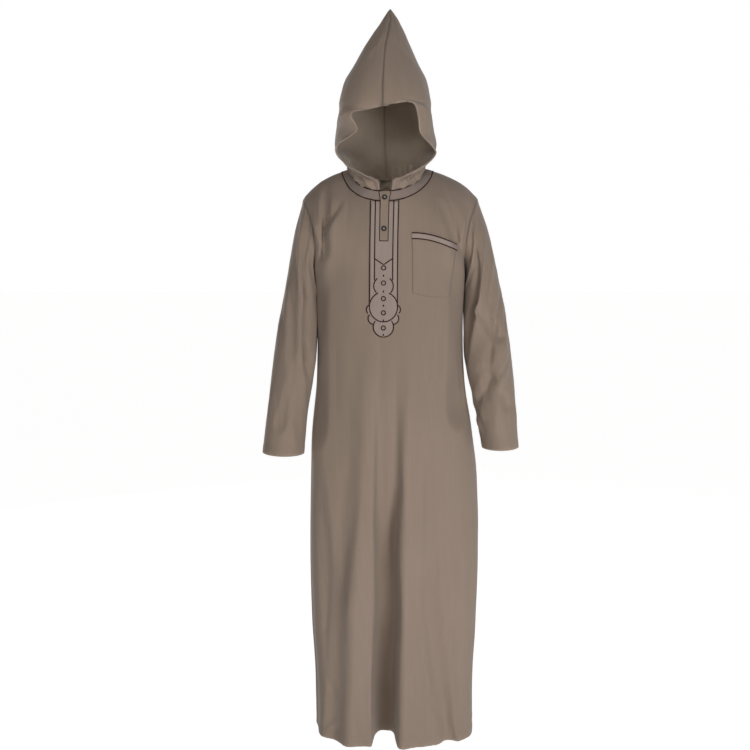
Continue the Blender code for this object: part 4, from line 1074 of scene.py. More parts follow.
def sleeve_points(side, seed, creases):
    t = np.linspace(0, 1, SLEEVE_ROWS + 1)[:, None]
    angle = np.linspace(0, 360, SLEEVE_COLUMNS_AROUND, endpoint=False)[None, :]
    points = sleeve_point(side, t + 0 * angle, angle + 0 * t)
    relief = np.zeros(points.shape[:2])
    for turn in (-360, 0, 360):
        flat_x = (angle + turn) / 360 * ARM_ROUND
        relief += GATHERED * crease_height(flat_on_arm(creases), flat_x, -t * ARM_LONG)
    x, y, z = points[..., 0], points[..., 1], points[..., 2]
    relief += ripples(seed, x + y, z, wide=0.060, tall=0.20, height=0.6 * MM)
    relief += ripples(seed + 1, x - y, z, wide=0.022, tall=0.05, height=0.25 * MM)
    armhole, cuff = t * ARM_LONG, (1 - t) * ARM_LONG
    relief *= settles(armhole) * mix(CUFF_CALM, 1.0, smooth(cuff / 0.06))
    relief += seam_puff(armhole)
    under = np.maximum(0, -np.cos(np.radians(angle))) ** 1.5
    relief += REST[side] * under * plateau(t, 0.08, 0.14, 0.92, 0.30)
    turned, weight = turned_edge(cuff, CUFF_FOLD)
    relief += turned
    points += facing(points, side, around=True) * relief[..., None]
    # the cuff is paler as real wear, and the armhole seam is painted darker as shade
    wear_and_painted_light = RUBBED * beside(cuff, WEAR_AND_SHADE_REACH) - SHADED * beside(armhole, WEAR_AND_SHADE_REACH)
    return points, weight + 0 * angle, wear_and_painted_light + 0 * angle


sleeves = {}
for name, side, seed, creases in (
    ("sleeve_left", 1, 31, LEFT_SLEEVE_CREASES),
    ("sleeve_right", -1, 47, RIGHT_SLEEVE_CREASES),
):
    sleeves[name] = woollen(name, side, *sleeve_points(side, seed, creases), around=True)

# %% [markdown]
# ## The hood
# Two halves meet in a seam that runs from the nape over the top to the brow and ends in the
# point that gives a djellaba its outline. The front edge is turned in twice and stitched,
# and where the hood is sewn into the neckline its spare cloth crumples inside the band.

# %% Hood creases
# s_top v_top s_low v_low bend width_left width_right height_top height_middle height_low
HOOD_CREASES = (
    # crumpled into the neckline
    (0.52, 0.14, 0.57, 0.010, 0.003, 0.007, 0.008, 0.0, -4.0, -2.5),
    (0.60, 0.12, 0.68, 0.010, -0.003, 0.006, 0.006, 0.0, 6.5, 4.0),
    (0.66, 0.13, 0.74, 0.010, 0.004, 0.004, 0.006, 0.0, -6.5, -4.5),
    (0.74, 0.14, 0.80, 0.010, -0.003, 0.004, 0.005, 0.0, 7.0, 4.0),
    (0.79, 0.15, 0.86, 0.010, 0.003, 0.004, 0.005, 0.0, -7.0, -4.0),
    (0.86, 0.15, 0.91, 0.010, -0.002, 0.004, 0.005, 0.0, 6.5, 3.0),
    (0.92, 0.14, 0.950, 0.016, 0.002, 0.004, 0.005, 0.0, -6.0, -3.0),
    (0.64, 0.035, 0.94, 0.060, 0.003, 0.003, 0.005, 0.5, 3.6, 0.5),
    (0.70, 0.020, 0.90, 0.034, -0.002, 0.003, 0.004, 0.0, -2.6, 0.0),
    (0.40, 0.14, 0.46, 0.012, 0.004, 0.008, 0.008, 0.0, 3.0, 1.0),
    (0.30, 0.12, 0.30, 0.012, 0.004, 0.007, 0.009, 0.0, -2.8, -1.0),
    (0.18, 0.16, 0.16, 0.012, 0.004, 0.009, 0.008, 0.0, 2.6, 0.8),
    # from the nape and the crown
    (0.12, 0.60, 0.40, 0.24, 0.016, 0.014, 0.018, 0.0, 2.8, 0.5),
    (0.16, 0.44, 0.52, 0.18, 0.012, 0.012, 0.012, 0.0, -3.0, 0.0),
    (0.44, 0.70, 0.54, 0.34, -0.010, 0.016, 0.014, 0.0, 2.4, 0.5),
    (0.60, 0.66, 0.66, 0.36, 0.008, 0.014, 0.012, 0.0, -2.2, 0.0),
    (0.74, 0.62, 0.78, 0.42, -0.006, 0.014, 0.012, 0.0, 2.0, 0.0),
    (0.94, 0.87, 0.70, 0.79, 0.004, 0.010, 0.008, 0.5, 2.4, 0.0),
    (0.30, 0.84, 0.66, 0.66, 0.010, 0.013, 0.013, 0.0, 2.0, 0.0),
)
HOOD_ROUND, HOOD_TALL = 0.30, 0.56
RIM_FOLD = 0.012
print(len(HOOD_CREASES), "creases on each half of the hood")

# %% The rim, as it is worn
HOOD_ROWS, HOOD_COLUMNS = 132, 84
SEAM_FROM = 0.62  # the two halves are sewn together over the brow from this share of their height
SOFT_FROM, SOFT_TO = 0.10, 0.86  # and their corners are worn off between these
# how far the rim has slipped outward and up from its cut, at each share of the hood's height
RIM_SLIP = {
    1: Table(
        "v out up",
        (0.16, 0.000, 0.000),
        (0.27, 0.004, -0.002),
        (0.33, 0.003, -0.010),
        (0.40, 0.004, -0.006),
        (0.46, 0.014, -0.004),
        (0.53, 0.010, 0.003),
        (0.58, 0.005, 0.003),
        (0.62, 0.000, -0.005),
        (0.70, 0.000, 0.000),
    ),
    -1: Table(
        "v out up",
        (0.16, 0.000, 0.000),
        (0.33, 0.000, -0.002),
        (0.41, -0.006, -0.008),
        (0.45, -0.010, -0.012),
        (0.50, 0.008, -0.003),
        (0.54, 0.008, -0.003),
        (0.58, 0.004, -0.006),
        (0.62, 0.000, -0.005),
        (0.70, 0.000, 0.000),
    ),
}


def softened(points, times):
    """Takes the corners off the front of the hood. The seam over the brow stays closed."""
    low, high = round(SOFT_FROM * HOOD_ROWS), round(SOFT_TO * HOOD_ROWS)
    first = HOOD_COLUMNS // 3
    share = smooth((np.arange(HOOD_COLUMNS + 1) - first) / first)[None, :, None] / 2
    seam = points[round(SEAM_FROM * HOOD_ROWS) :, -1].copy()
    for _ in range(times):
        middle = (points[low - 1 : high - 1] + points[low + 1 : high + 1]) / 2
        points[low:high] = mix(points[low:high], middle, share)
        points[round(SEAM_FROM * HOOD_ROWS) :, -1] = seam
    return points


# how far the front of each half stands out past its cut, below and above the brow
FULLNESS = Table(
    "v out",
    (0.20, 0.000),
    (0.38, -0.001),
    (0.48, -0.005),
    (0.54, -0.005),
    (0.59, 0.002),
    (0.63, 0.008),
    (0.70, 0.007),
    (0.86, 0.000),
)
print("the rim slips by up to", max(table.rows[:, 1].max() for table in RIM_SLIP.values()), "m")

# %% The two halves of the hood
CRUMPLED, TIP_PUFF = 1.1 * MM, 6.0 * MM  # the height of the crumples and of the stuffed tip
RIM_STEP, RIM_GROOVE, SEAM_GROOVE = 0.4 * MM, 0.6 * MM, 1.0 * MM
STITCHED = 0.0022  # half the width of a groove that stitches pull, in metres
SWAY = 0.02  # how far the creases of one half are turned against those of the other


def flat_on_hood(rows, side):
    """Turns shares of a half hood into metres on the flat cloth."""
    sway = SWAY * side
    return [
        ((a + sway) * HOOD_ROUND, b * HOOD_TALL, (c - sway) * HOOD_ROUND, d * HOOD_TALL, *shape)
        for a, b, c, d, *shape in rows
    ]


def hood_form(side, s, v):
    """The hood as it is worn, before its creases."""
    points = softened(hood_point(side, s + 0 * v, v + 0 * s), 26)
    slip = RIM_SLIP[side].at(v + 0 * s)
    near_rim = smooth((s - 0.5) / 0.5) ** 1.5
    points += xyz(side * slip.out * near_rim, 0, slip.up * near_rim)
    return softened(points, 3)


def hood_points(side, seed):
    s = np.linspace(0, 1, HOOD_COLUMNS + 1)[None, :]
    v = np.linspace(0, 1, HOOD_ROWS + 1)[:, None]
    points = hood_form(side, s, v)
    flat_s, flat_v = s * HOOD_ROUND, v * HOOD_TALL
    relief = crease_height(flat_on_hood(HOOD_CREASES, side), flat_s, flat_v)
    relief += ripples(seed, flat_s, flat_v, wide=0.070, tall=0.16, height=0.6 * MM)
    relief += ripples(seed + 1, flat_s, flat_v, wide=0.024, tall=0.05, height=0.25 * MM)
    crumple = ripples(seed + 2, flat_s, flat_v, wide=0.017, tall=0.024, height=CRUMPLED)
    relief += crumple * (1 - smooth((v - 0.08) / 0.10))
    step = np.linalg.norm(np.diff(points, axis=1), axis=2)
    run = np.concatenate([np.zeros((len(step), 1)), np.cumsum(step, axis=1)], axis=1)
    from_back, from_rim, from_neck = run, run[:, -1:] - run, flat_v + 0 * run
    open_rim = (v < SEAM_FROM - 0.004) + 0 * s
    seam_line = np.where(open_rim > 0, from_back, np.minimum(from_back, from_rim))
    seam = np.minimum(seam_line, from_neck + 0.02)
    to_tip = smooth((1 - v) / 0.05) + 0 * s
    relief *= np.minimum(settles(seam), settles(from_neck, 0.005)) * to_tip
    relief += (seam_puff(seam) - SEAM_GROOVE * beside(seam_line, STITCHED)) * to_tip
    # it is fuller before its front edge, and the tip is stuffed out by its own seam
    relief += FULLNESS.at(v).out * np.sin(math.pi * np.clip((s - 0.45) / 0.55, 0, 1))
    relief += TIP_PUFF * smooth((v - 0.80) / 0.12) * np.sqrt(np.clip((1 - v) / 0.035, 0, 1))
    turned, weight = turned_edge(from_rim, RIM_FOLD, RIM_STEP, RIM_GROOVE, 0.003, STITCHED)
    relief += turned * open_rim
    points += facing(points, -side) * relief[..., None]
    # a painted highlight along the hood's folded rim, and painted shade along its seam
    wear_and_painted_light = open_rim * beside(from_rim, 0.003) - 0.8 * beside(seam_line, STITCHED)
    return points, mix(0.5, weight, open_rim), wear_and_painted_light


hoods = {}
for name, side, seed in (("hood_left", 1, 61), ("hood_right", -1, 73)):
    hoods[name] = woollen(name, -side, *hood_points(side, seed))

# %% [markdown]
# ## Finding places on the finished cloth
# Facings, pocket and ornament lie on the cloth after it has been creased, so each of their
# points is found on it by a straight line from the front, or by the nearest place.


# %% Surface finders
class Surface:
    """The outer side of some grids of cloth."""

    def __init__(self, *grids):
        points, faces = [], []
        for grid in grids:
            rows, columns = grid.shape[:2]
            start = sum(len(part) for part in points)
            i, j = np.meshgrid(np.arange(rows - 1), np.arange(columns - 1), indexing="ij")
            corner = start + i * columns + j
            cells = np.stack([corner, corner + 1, corner + columns + 1, corner + columns], axis=-1)
            points.append(grid.reshape(-1, 3))
            faces.append(cells.reshape(-1, 4))
        points, faces = np.concatenate(points), np.concatenate(faces)
        self.tree = BVHTree.FromPolygons(points.tolist(), faces.tolist())

    def from_front(self, x, z, lift=0.0):
        """The place on the cloth straight behind (x, z), raised by lift, and the way it faces."""
        place, normal, _, _ = self.tree.ray_cast(Vector((x, -1.0, z)), Vector((0, 1, 0)))
        if normal.y > 0:
            normal = -normal
        return place + normal * lift, normal

    def nearest(self, point):
        place, normal, _, _ = self.tree.find_nearest(point)
        outward = place - Vector((NECK_X, 0, place.z - 0.06))
        return place, normal if normal.dot(outward) > 0 else -normal


front = Surface(panels["front_panel"].points)
body = Surface(panels["front_panel"].points, panels["back_panel"].points)
print("the front can be found by a line from the camera's side")

# %% [markdown]
# ## The neck band
# A ring of smooth facing cloth, 23 mm wide, covers the seam where the hood is sewn in. It is
# cut as a flat ring and follows the yoke, so its points walk outward over the cloth from
# the neckline. A little more height in its middle shows that it is padded by the seam.

# %% The band's ring
BAND_WIDTH, BAND_INSET, BAND_LIFT, BAND_PADDING = 0.023, 0.0025, 1.3 * MM, 0.4 * MM
BAND_AROUND, BAND_STRIDES = 220, 10


def neck_way(angle):
    """The direction along the neckline."""
    return Vector(neck_point(angle + 1) - neck_point(angle - 1)).normalized()


def neck_band_points():
    rows = []
    for angle in np.linspace(0, 360, BAND_AROUND, endpoint=False):
        way = neck_way(angle)
        point, normal = body.nearest(Vector(neck_point(angle)))
        line = []
        for i in range(BAND_STRIDES + 1):
            out = normal.cross(way).normalized()
            if out.dot(point - Vector((NECK_X, 0, point.z))) < 0:
                out = -out
            stride = BAND_INSET if i == 0 else BAND_WIDTH / BAND_STRIDES
            point, normal = body.nearest(point + out * stride)
            padding = BAND_PADDING * math.sin(math.pi * i / BAND_STRIDES)
            line.append(point + normal * (BAND_LIFT + padding))
        rows.append(line)
    return np.array(rows).transpose(1, 0, 2)


band_points = neck_band_points()
for _ in range(3):
    middle = (np.roll(band_points, 1, 1) + np.roll(band_points, -1, 1)) / 2
    band_points = mix(band_points, middle, 0.5)
neck_band = grid_object("neck_band_cloth", band_points, -1, around=True)
# the band takes the facing cloth darkened as painted shade from the hood
lined(neck_band, band_cloth_in_painted_shade)
thicken(neck_band, 1.0 * MM)
band_length = np.linalg.norm(np.diff(band_points[-1], axis=0), axis=1).sum()
print("the neck band is", round(float(band_length), 3), "m round")

# %% [markdown]
# ## The chest facing
# Below the band hangs a long tongue of facing cloth that stiffens the slit of the neck. It
# ends in pairs of round lobes. Its width is a formula of its height, a strip and then three
# pairs of circles, so it can be cut at any fineness.

# %% The facing's outline
CENTRE_LINE = Table("z x", (-0.400, -0.0163), (-0.200, -0.0158), (-0.060, -0.0130))
FACING_HALF_WIDTH, FACING_TOP_Z, FACING_TOP_CURVE, FACING_BOTTOM_Z = 0.0345, -0.0785, 4.6, -0.318
# aside, middle height, radius of each pair of lobes
FACING_LOBES = ((0.0285, -0.3285, 0.0125), (0.0225, -0.3495, 0.0145), (0.0000, -0.3690, 0.0250))
FACING_LOW_Z = FACING_LOBES[-1][1] - FACING_LOBES[-1][2]


def facing_half_width(z):
    widest = np.where(z >= FACING_BOTTOM_Z, FACING_HALF_WIDTH, 0.0)
    for aside, middle_z, radius in FACING_LOBES:
        lobe = np.sqrt(np.maximum(radius**2 - (z - middle_z) ** 2, 0))
        widest = np.where(np.abs(z - middle_z) <= radius, np.maximum(widest, aside + lobe), widest)
    return widest


def laid_on_front(name, xs, zs, lift, material, thickness=1.0 * MM):
    """Cloth stitched onto the front: a grid of (x, z) places, each found on the panel behind it."""
    rows = [[front.from_front(x, z, lift)[0] for x, z in zip(*line)] for line in zip(xs, zs)]
    sheet = grid_object(name, np.array(rows), -1)
    welded(sheet.data)
    lined(sheet, material)
    thicken(sheet, thickness)


print("the facing is", round(2 * FACING_HALF_WIDTH, 3), "m wide")

# %% The facing itself
FACING_LIFT, EVEN_SHARE = 1.25 * MM, 0.75
even = np.linspace(0, EVEN_SHARE, 60)[:-1]
closer = mix(EVEN_SHARE, 1.0, np.sin(np.linspace(0, math.pi / 2, 64)))
falls = np.concatenate([even, closer])[:, None]  # rows, closer together towards the last lobe
share = np.linspace(-1, 1, 29)[None, :]
heights = mix(FACING_TOP_Z, FACING_LOW_Z, falls)
half = facing_half_width(heights)
facing_x = CENTRE_LINE.at(heights).x + half * share
facing_z = heights + FACING_TOP_CURVE * (FACING_HALF_WIDTH * share) ** 2 * (1 - smooth(falls * 4))
laid_on_front("chest_facing_cloth", facing_x, facing_z, FACING_LIFT, facing_cloth)
print("the facing hangs from", FACING_TOP_Z, "to", round(FACING_LOW_Z, 4))

# %% The placket strip
STRIP_TOP_HALF, STRIP_HALF, STRIP_FLARE = 0.0140, 0.0105, 0.026
STRIP_LENGTH, STRIP_LIFT = 0.118, 2.4 * MM


def strip_half_width(z):
    """The strip is wider at the neck and narrows over the length of its flare."""
    return mix(STRIP_TOP_HALF, STRIP_HALF, smooth((NECK_FRONT_Z - z) / STRIP_FLARE))


strip_z = np.linspace(NECK_FRONT_Z - 0.0025, NECK_FRONT_Z - STRIP_LENGTH, 70)[:, None]
strip_share = np.linspace(-1, 1, 17)[None, :]
strip_x = CENTRE_LINE.at(strip_z).x + strip_half_width(strip_z) * strip_share
laid_on_front("placket_strip_cloth", strip_x, strip_z + 0 * strip_share, STRIP_LIFT, wool)
print("the placket strip is", STRIP_LENGTH, "m long")

# %% [markdown]
# ## The breast pocket
# A patch of the robe's own cloth with a stitched facing along its sloping mouth. The patch
# is one grid between its mouth and its rounded foot, and it stands a hair off the chest.

# %% The patch and its facing
POCKET_LEFT, POCKET_RIGHT = 0.050, 0.157
POCKET_TOP_Z, POCKET_SLOPE, POCKET_SAG = -0.150, -0.027, 0.004
POCKET_DEPTH, POCKET_TILT, POCKET_POINT, POCKET_BAND_HEIGHT = 0.140, 0.010, 0.005, 0.0145
POCKET_TAPER = (0.002, -0.016)  # how far the foot's ends lie from the mouth's ends


def pocket_mouth(t):
    return POCKET_TOP_Z + POCKET_SLOPE * t**1.35 + POCKET_SAG * np.sin(math.pi * t)


def pocket_foot(t):
    return POCKET_TOP_Z - POCKET_DEPTH - POCKET_TILT * t - POCKET_POINT * np.sin(math.pi * t)


def pocket_place(t, down):
    """A place on the patch: t across it, down from its mouth at 0 to its foot at 1."""
    x = mix(POCKET_LEFT, POCKET_RIGHT, t) + mix(*POCKET_TAPER, t) * down
    return x, mix(pocket_mouth(t), pocket_foot(t), down)


pocket_t, pocket_down = np.meshgrid(np.linspace(0, 1, 41), np.linspace(0, 1, 57))
pocket_x, pocket_z = pocket_place(pocket_t, pocket_down)
laid_on_front("pocket_cloth", pocket_x, pocket_z, 0.9 * MM, wool, thickness=0.7 * MM)
band_t, band_down = np.meshgrid(np.linspace(-0.005, 1.013, 45), np.linspace(0, 1, 9))
band_x = mix(POCKET_LEFT, POCKET_RIGHT, band_t)
band_z = pocket_mouth(np.clip(band_t, 0, 1)) + 0.8 * MM - POCKET_BAND_HEIGHT * band_down
laid_on_front("pocket_band_cloth", band_x, band_z, 2.5 * MM, facing_cloth)
print("the pocket is", round(POCKET_RIGHT - POCKET_LEFT, 3), "by", POCKET_DEPTH, "m")

# %% [markdown]
# ## The sewn ornament
# The dark lines are rows of close stitches, a flattened cord of nearly three millimetres. A
# curve with a bevel could make them, but it would stand off the cloth. Here each line is a
# tube whose section is squashed along the way the cloth faces, with a swelling for every
# stitch, so that it lies like thread and ends in a closed point.


# %% The stitched line
class Thread:
    """Collects many small pieces of thread in one mesh."""

    def __init__(self):
        self.points, self.faces = [], []

    def tube(self, places, normals, width, height, sides=6, closed=False, stitch=0.0):
        """A flattened tube through these places."""
        count, start = len(places), len(self.points)
        run = 0.0
        for k, (place, normal) in enumerate(zip(places, normals)):
            after = places[(k + 1) % count] if closed or k < count - 1 else place
            before = places[k - 1] if closed or k > 0 else place
            way = (after - before).normalized()
            run += (place - before).length if k else 0.0
            aside = normal.cross(way).normalized()
            swell = 0.82 + 0.18 * abs(math.sin(math.pi * run / stitch)) if stitch else 1.0
            if not closed:
                swell *= min(1.0, 0.35 + 0.65 * min(k, count - 1 - k))
            for i in range(sides):
                turn = math.tau * i / sides
                across = aside * (math.cos(turn) * width / 2)
                up = normal * (math.sin(turn) * height / 2)
                self.points.append(place + (across + up) * swell)
        for k in range(count if closed else count - 1):
            a, b = start + k * sides, start + (k + 1) % count * sides
            for i in range(sides):
                j = (i + 1) % sides
                self.faces.append((a + i, a + j, b + j, b + i))
        if not closed:
            last = start + (count - 1) * sides
            self.faces.append(tuple(start + i for i in reversed(range(sides))))
            self.faces.append(tuple(last + i for i in range(sides)))

    def stitches(self, places, normals, length, gap, width):
        """A row of single stitches, each a short tube that dips into the cloth at both ends."""
        run = np.concatenate([[0], np.cumsum([(b - a).length for a, b in zip(places, places[1:])])])
        flat = np.array([tuple(p) + tuple(n) for p, n in zip(places, normals)])
        for start in np.arange(gap / 2, run[-1] - length, length + gap):
            dots, ways = [], []
            for share, dip in ((0.0, -0.4), (0.25, 0.15), (0.75, 0.15), (1.0, -0.4)):
                here = [np.interp(start + length * share, run, flat[:, c]) for c in range(6)]
                ways.append(Vector(here[3:]).normalized())
                dots.append(Vector(here[:3]) + ways[-1] * width * dip)
            self.tube(dots, ways, width, width * 0.7, sides=5)

    def make(self, name, material):
        mesh = bpy.data.meshes.new(name)
        mesh.from_pydata([tuple(p) for p in self.points], [], self.faces)
        mesh.shade_smooth()
        mesh.materials.append(material)
        made = bpy.data.objects.new(name, mesh)
        bpy.context.scene.collection.objects.link(made)
        print(name, "has", len(self.faces), "faces")
        return made


print("needle and thread are ready")


# %% Lines and arcs of the ornament
def line_of(*corners, step=0.0012):
    """Places every step along straight lines through these (x, z) corners."""
    path = []
    for (x, z), (u, w) in zip(corners, corners[1:]):
        count = max(2, round(math.hypot(u - x, w - z) / step))
        path += [(mix(x, u, k / count), mix(z, w, k / count)) for k in range(count)]
    return path + [corners[-1]]


def arc_of(x, z, radius, start, end, step=0.0012, tall=1.0):
    """Places along an arc. Angles are in degrees, anticlockwise from the wearer's left."""
    count = max(6, round(abs(math.radians(end - start)) * radius / step))
    turns = [math.radians(mix(start, end, k / count)) for k in range(count + 1)]
    return [(x + radius * math.cos(turn), z + radius * tall * math.sin(turn)) for turn in turns]


LINE_WIDTH, LINE_HEIGHT, LINE_STITCH = 2.9 * MM, 1.2 * MM, 1.6 * MM


def along_front(path, lift):
    """The places on the front under a path of (x, z) places, and the ways that they face."""
    return zip(*(front.from_front(x, z, lift) for x, z in path))


def sew(thread, path, lift, width=LINE_WIDTH, height=LINE_HEIGHT, closed=False, stitch=LINE_STITCH):
    """Lays a stitched line on the front along a path of (x, z) places."""
    thread.tube(*along_front(path, lift), width, height, closed=closed, stitch=stitch)


print("paths are ready")

# %% The ornament on the chest
LINE_LIFT = 1.5 * MM
dark = Thread()
FACING_TOP_SIDE = FACING_TOP_Z + FACING_TOP_CURVE * FACING_HALF_WIDTH**2


def centre(z):
    return float(CENTRE_LINE.at(z).x)


def hanging(aside, *heights):
    """A line that hangs this far beside the facing's centre line, through these heights."""
    return line_of(*((centre(z) + aside, z) for z in heights))


OUTER_ASIDE, INNER_ASIDE = 0.0325, 0.0212
SLANT_ASIDE, SLANT_TOP_Z, SLANT_LOW_Z = 0.0205, -0.2095, -0.2235  # they meet below the placket
for side in (-1, 1):
    sew(dark, hanging(side * OUTER_ASIDE, FACING_TOP_SIDE - 0.001, -0.16, -0.24, -0.320), LINE_LIFT)
    sew(dark, hanging(side * INNER_ASIDE, FACING_TOP_Z + 0.0035, -0.14, -0.20, -0.2600), LINE_LIFT)
    slant_top = (centre(SLANT_TOP_Z) + side * SLANT_ASIDE, SLANT_TOP_Z)
    sew(dark, line_of(slant_top, (centre(SLANT_LOW_Z), SLANT_LOW_Z)), LINE_LIFT)

RINGS = (-0.2308, -0.2660, -0.3025, -0.3360, -0.3714)
DOTS = (-0.2490, -0.2859, -0.3191, -0.3537, -0.3877)
RING_RADIUS, DOT_HALF = 0.0048, 0.0026
for z in RINGS:
    ring = arc_of(centre(z), z, RING_RADIUS, 0, 360)[:-1]
    sew(dark, ring, LINE_LIFT, width=2.6 * MM, closed=True, stitch=0)
for z in DOTS:
    dot = line_of((centre(z), z + DOT_HALF), (centre(z), z - DOT_HALF))
    sew(dark, dot, LINE_LIFT, width=3.2 * MM, stitch=0)
print("rings and dots are sewn")

# %% The lobes of the ornament
def both_sides(aside, z, radius, start, end, tall=1.0):
    """The same arc on the wearer's left and, mirrored, on the right."""
    for side in (-1, 1):
        first, last = (start, end) if side == 1 else (180 - start, 180 - end)
        lobe = arc_of(centre(z) + side * aside, z, radius, first, last, tall=tall)
        sew(dark, lobe, LINE_LIFT)


SMALL_Z, SMALL_R, BIG_Z, BIG_R = -0.2730, 0.0228, -0.3220, 0.0330
both_sides(0.0, SMALL_Z, SMALL_R, -44, 52)
both_sides(0.0, BIG_Z, BIG_R, -90, 68, tall=1.06)
LOBE_TURNS, LOBE_INSET = ((72, -50), (44, -86), (38, -90)), 0.0012
for (aside, z, radius), (start, end) in zip(FACING_LOBES, LOBE_TURNS):
    both_sides(aside, z, radius - LOBE_INSET, start, end)
print("the lobes are sewn")

# %% The pale zigzag in the side strips
pale = Thread()
ZIGZAG_STEP, ZIGZAG_REACH, ZIGZAG_WIDTH = 0.0021, 0.0026, 0.9 * MM


def zigzag(path, lift):
    """Thread that crosses a path from side to side, with one place for each turn."""
    turned = []
    for k, ((x, z), (u, w)) in enumerate(zip(path, path[1:])):
        length = math.hypot(u - x, w - z)
        reach = ZIGZAG_REACH * (-1) ** k
        turned.append((x - (w - z) / length * reach, z + (u - x) / length * reach))
    sew(pale, turned, lift, width=ZIGZAG_WIDTH, height=0.7 * MM, stitch=0)


for side in (-1, 1):
    middle = side * (OUTER_ASIDE + INNER_ASIDE) / 2
    ends = ((centre(-0.082) + middle, -0.082), (centre(-0.300) + middle, -0.300))
    zigzag(line_of(*ends, step=ZIGZAG_STEP), FACING_LIFT)
print("the side strips have", len(pale.faces), "faces of zigzag")

# %% The placket's edge and the pocket's two lines
STRIP_LINE_LIFT, STRIP_LINE_WIDTH, STRIP_LINE_INSET = 2.7 * MM, 1.9 * MM, 0.0006
foot = NECK_FRONT_Z - STRIP_LENGTH + 0.0008
edge_z = np.linspace(NECK_FRONT_Z - 0.002, foot, 60)
edge_aside = strip_half_width(edge_z) - STRIP_LINE_INSET
for side in (-1, 1):
    edge = [(centre(z) + side * aside, z) for z, aside in zip(edge_z, edge_aside)]
    sew(dark, edge, STRIP_LINE_LIFT, width=STRIP_LINE_WIDTH)
end = line_of((centre(foot) - STRIP_HALF, foot), (centre(foot) + STRIP_HALF, foot))
sew(dark, end, STRIP_LINE_LIFT, width=STRIP_LINE_WIDTH)


def along_mouth(above, start=-0.003, end=1.01, count=90):
    """Places beside the pocket's mouth, this much above it."""
    shares = np.linspace(start, end, count)
    xs = mix(POCKET_LEFT, POCKET_RIGHT, shares)
    return list(zip(xs, pocket_mouth(np.clip(shares, 0, 1)) + above))


for above in (0.2 * MM, -POCKET_BAND_HEIGHT + 1.4 * MM):
    sew(dark, along_mouth(above), 2.8 * MM)
zigzag(along_mouth(-POCKET_BAND_HEIGHT / 2 + 0.8 * MM, 0.02, 0.99, 50), 2.55 * MM)
print("the placket and the pocket are edged")

# %% The two lines of the neck band
band_normals = facing(band_points, -1, around=True)
for row in (0, BAND_STRIDES):
    ways = [Vector(n) for n in band_normals[row]]
    places = [Vector(p) + way * 0.3 * MM for p, way in zip(band_points[row], ways)]
    dark.tube(places, ways, LINE_WIDTH, LINE_HEIGHT, closed=True, stitch=LINE_STITCH)
ornament = dark.make("ornament_thread", dark_thread)
zigzags = pale.make("zigzag_thread", pale_thread)

# %% [markdown]
# ## Topstitching
# Hems, cuffs, the hood's rim and the pocket are held by rows of small stitches in thread of
# the cloth's colour. Each stitch is a short tube that dips into the cloth at both ends.

# %% Topstitch rows
fine = Thread()
STITCH, STITCH_GAP, STITCH_WIDTH = 3.0 * MM, 1.2 * MM, 0.55 * MM


def stitch_row(points, normals):
    places = [Vector(p) for p in points]
    fine.stitches(places, [Vector(n) for n in normals], STITCH, STITCH_GAP, STITCH_WIDTH)


for panel in panels.values():
    row = round(HEM_FOLD / (UNDERARM_Z - HEM_Z) * SKIRT_ROWS)
    stitch_row(panel.points[row, 1:-1], panel.normals[row, 1:-1])
for sleeve in sleeves.values():
    row = SLEEVE_ROWS - round(CUFF_FOLD / ARM_LONG * SLEEVE_ROWS)
    stitch_row(sleeve.points[row], sleeve.normals[row])
for hood in hoods.values():
    path, ways = [], []
    for i in range(4, round(0.6 * HOOD_ROWS)):  # from just above the neck band up to the brow
        run = np.linalg.norm(np.diff(hood.points[i][::-1], axis=0), axis=1).cumsum()
        j = HOOD_COLUMNS - 1 - int(np.searchsorted(run, RIM_FOLD))
        path.append(hood.points[i, j])
        ways.append(hood.normals[i, j])
    stitch_row(path, ways)
print("hems, cuffs and rim are stitched")

# %% The pocket's stitches
SEAM_IN, SEAM_LOW = 0.02, 0.985  # where the seam runs, in shares of the patch
pocket_path = [pocket_place(SEAM_IN, d) for d in np.linspace(0.10, SEAM_LOW, 60)]
pocket_path += [pocket_place(t, SEAM_LOW) for t in np.linspace(0.03, 1 - SEAM_IN, 40)]
pocket_path += [pocket_place(1 - SEAM_IN, d) for d in np.linspace(0.975, 0.12, 60)]
stitch_row(*along_front(pocket_path, 1.4 * MM))
topstitching = fine.make("topstitching", seam_thread)

# %% [markdown]
# ## Buttons
# Two small buttons close the placket. Each is turned: a profile spun round an axis, with a
# raised dark rim and a dished, paler middle. A circle of points is made for each row of the
# profile. Its first and last rows lie on the axis, so their points are joined into one.

# %% Turning a button
BUTTON_RADIUS, BUTTON_HEIGHT, BUTTON_STEPS = 0.0062, 0.0030, 48
BUTTON_PROFILE = (
    # radius and height as shares of the button's own
    (0.00, 0.54), (0.24, 0.54), (0.40, 0.57), (0.48, 0.78), (0.62, 0.97), (0.78, 1.00),
    (0.88, 0.96), (0.97, 0.80), (1.00, 0.60), (0.97, 0.36), (0.88, 0.12), (0.70, 0.02), (0.00, 0.00),
)  # fmt: skip
RIM_FROM = 2  # rings of the profile that are milky before the dark rim begins


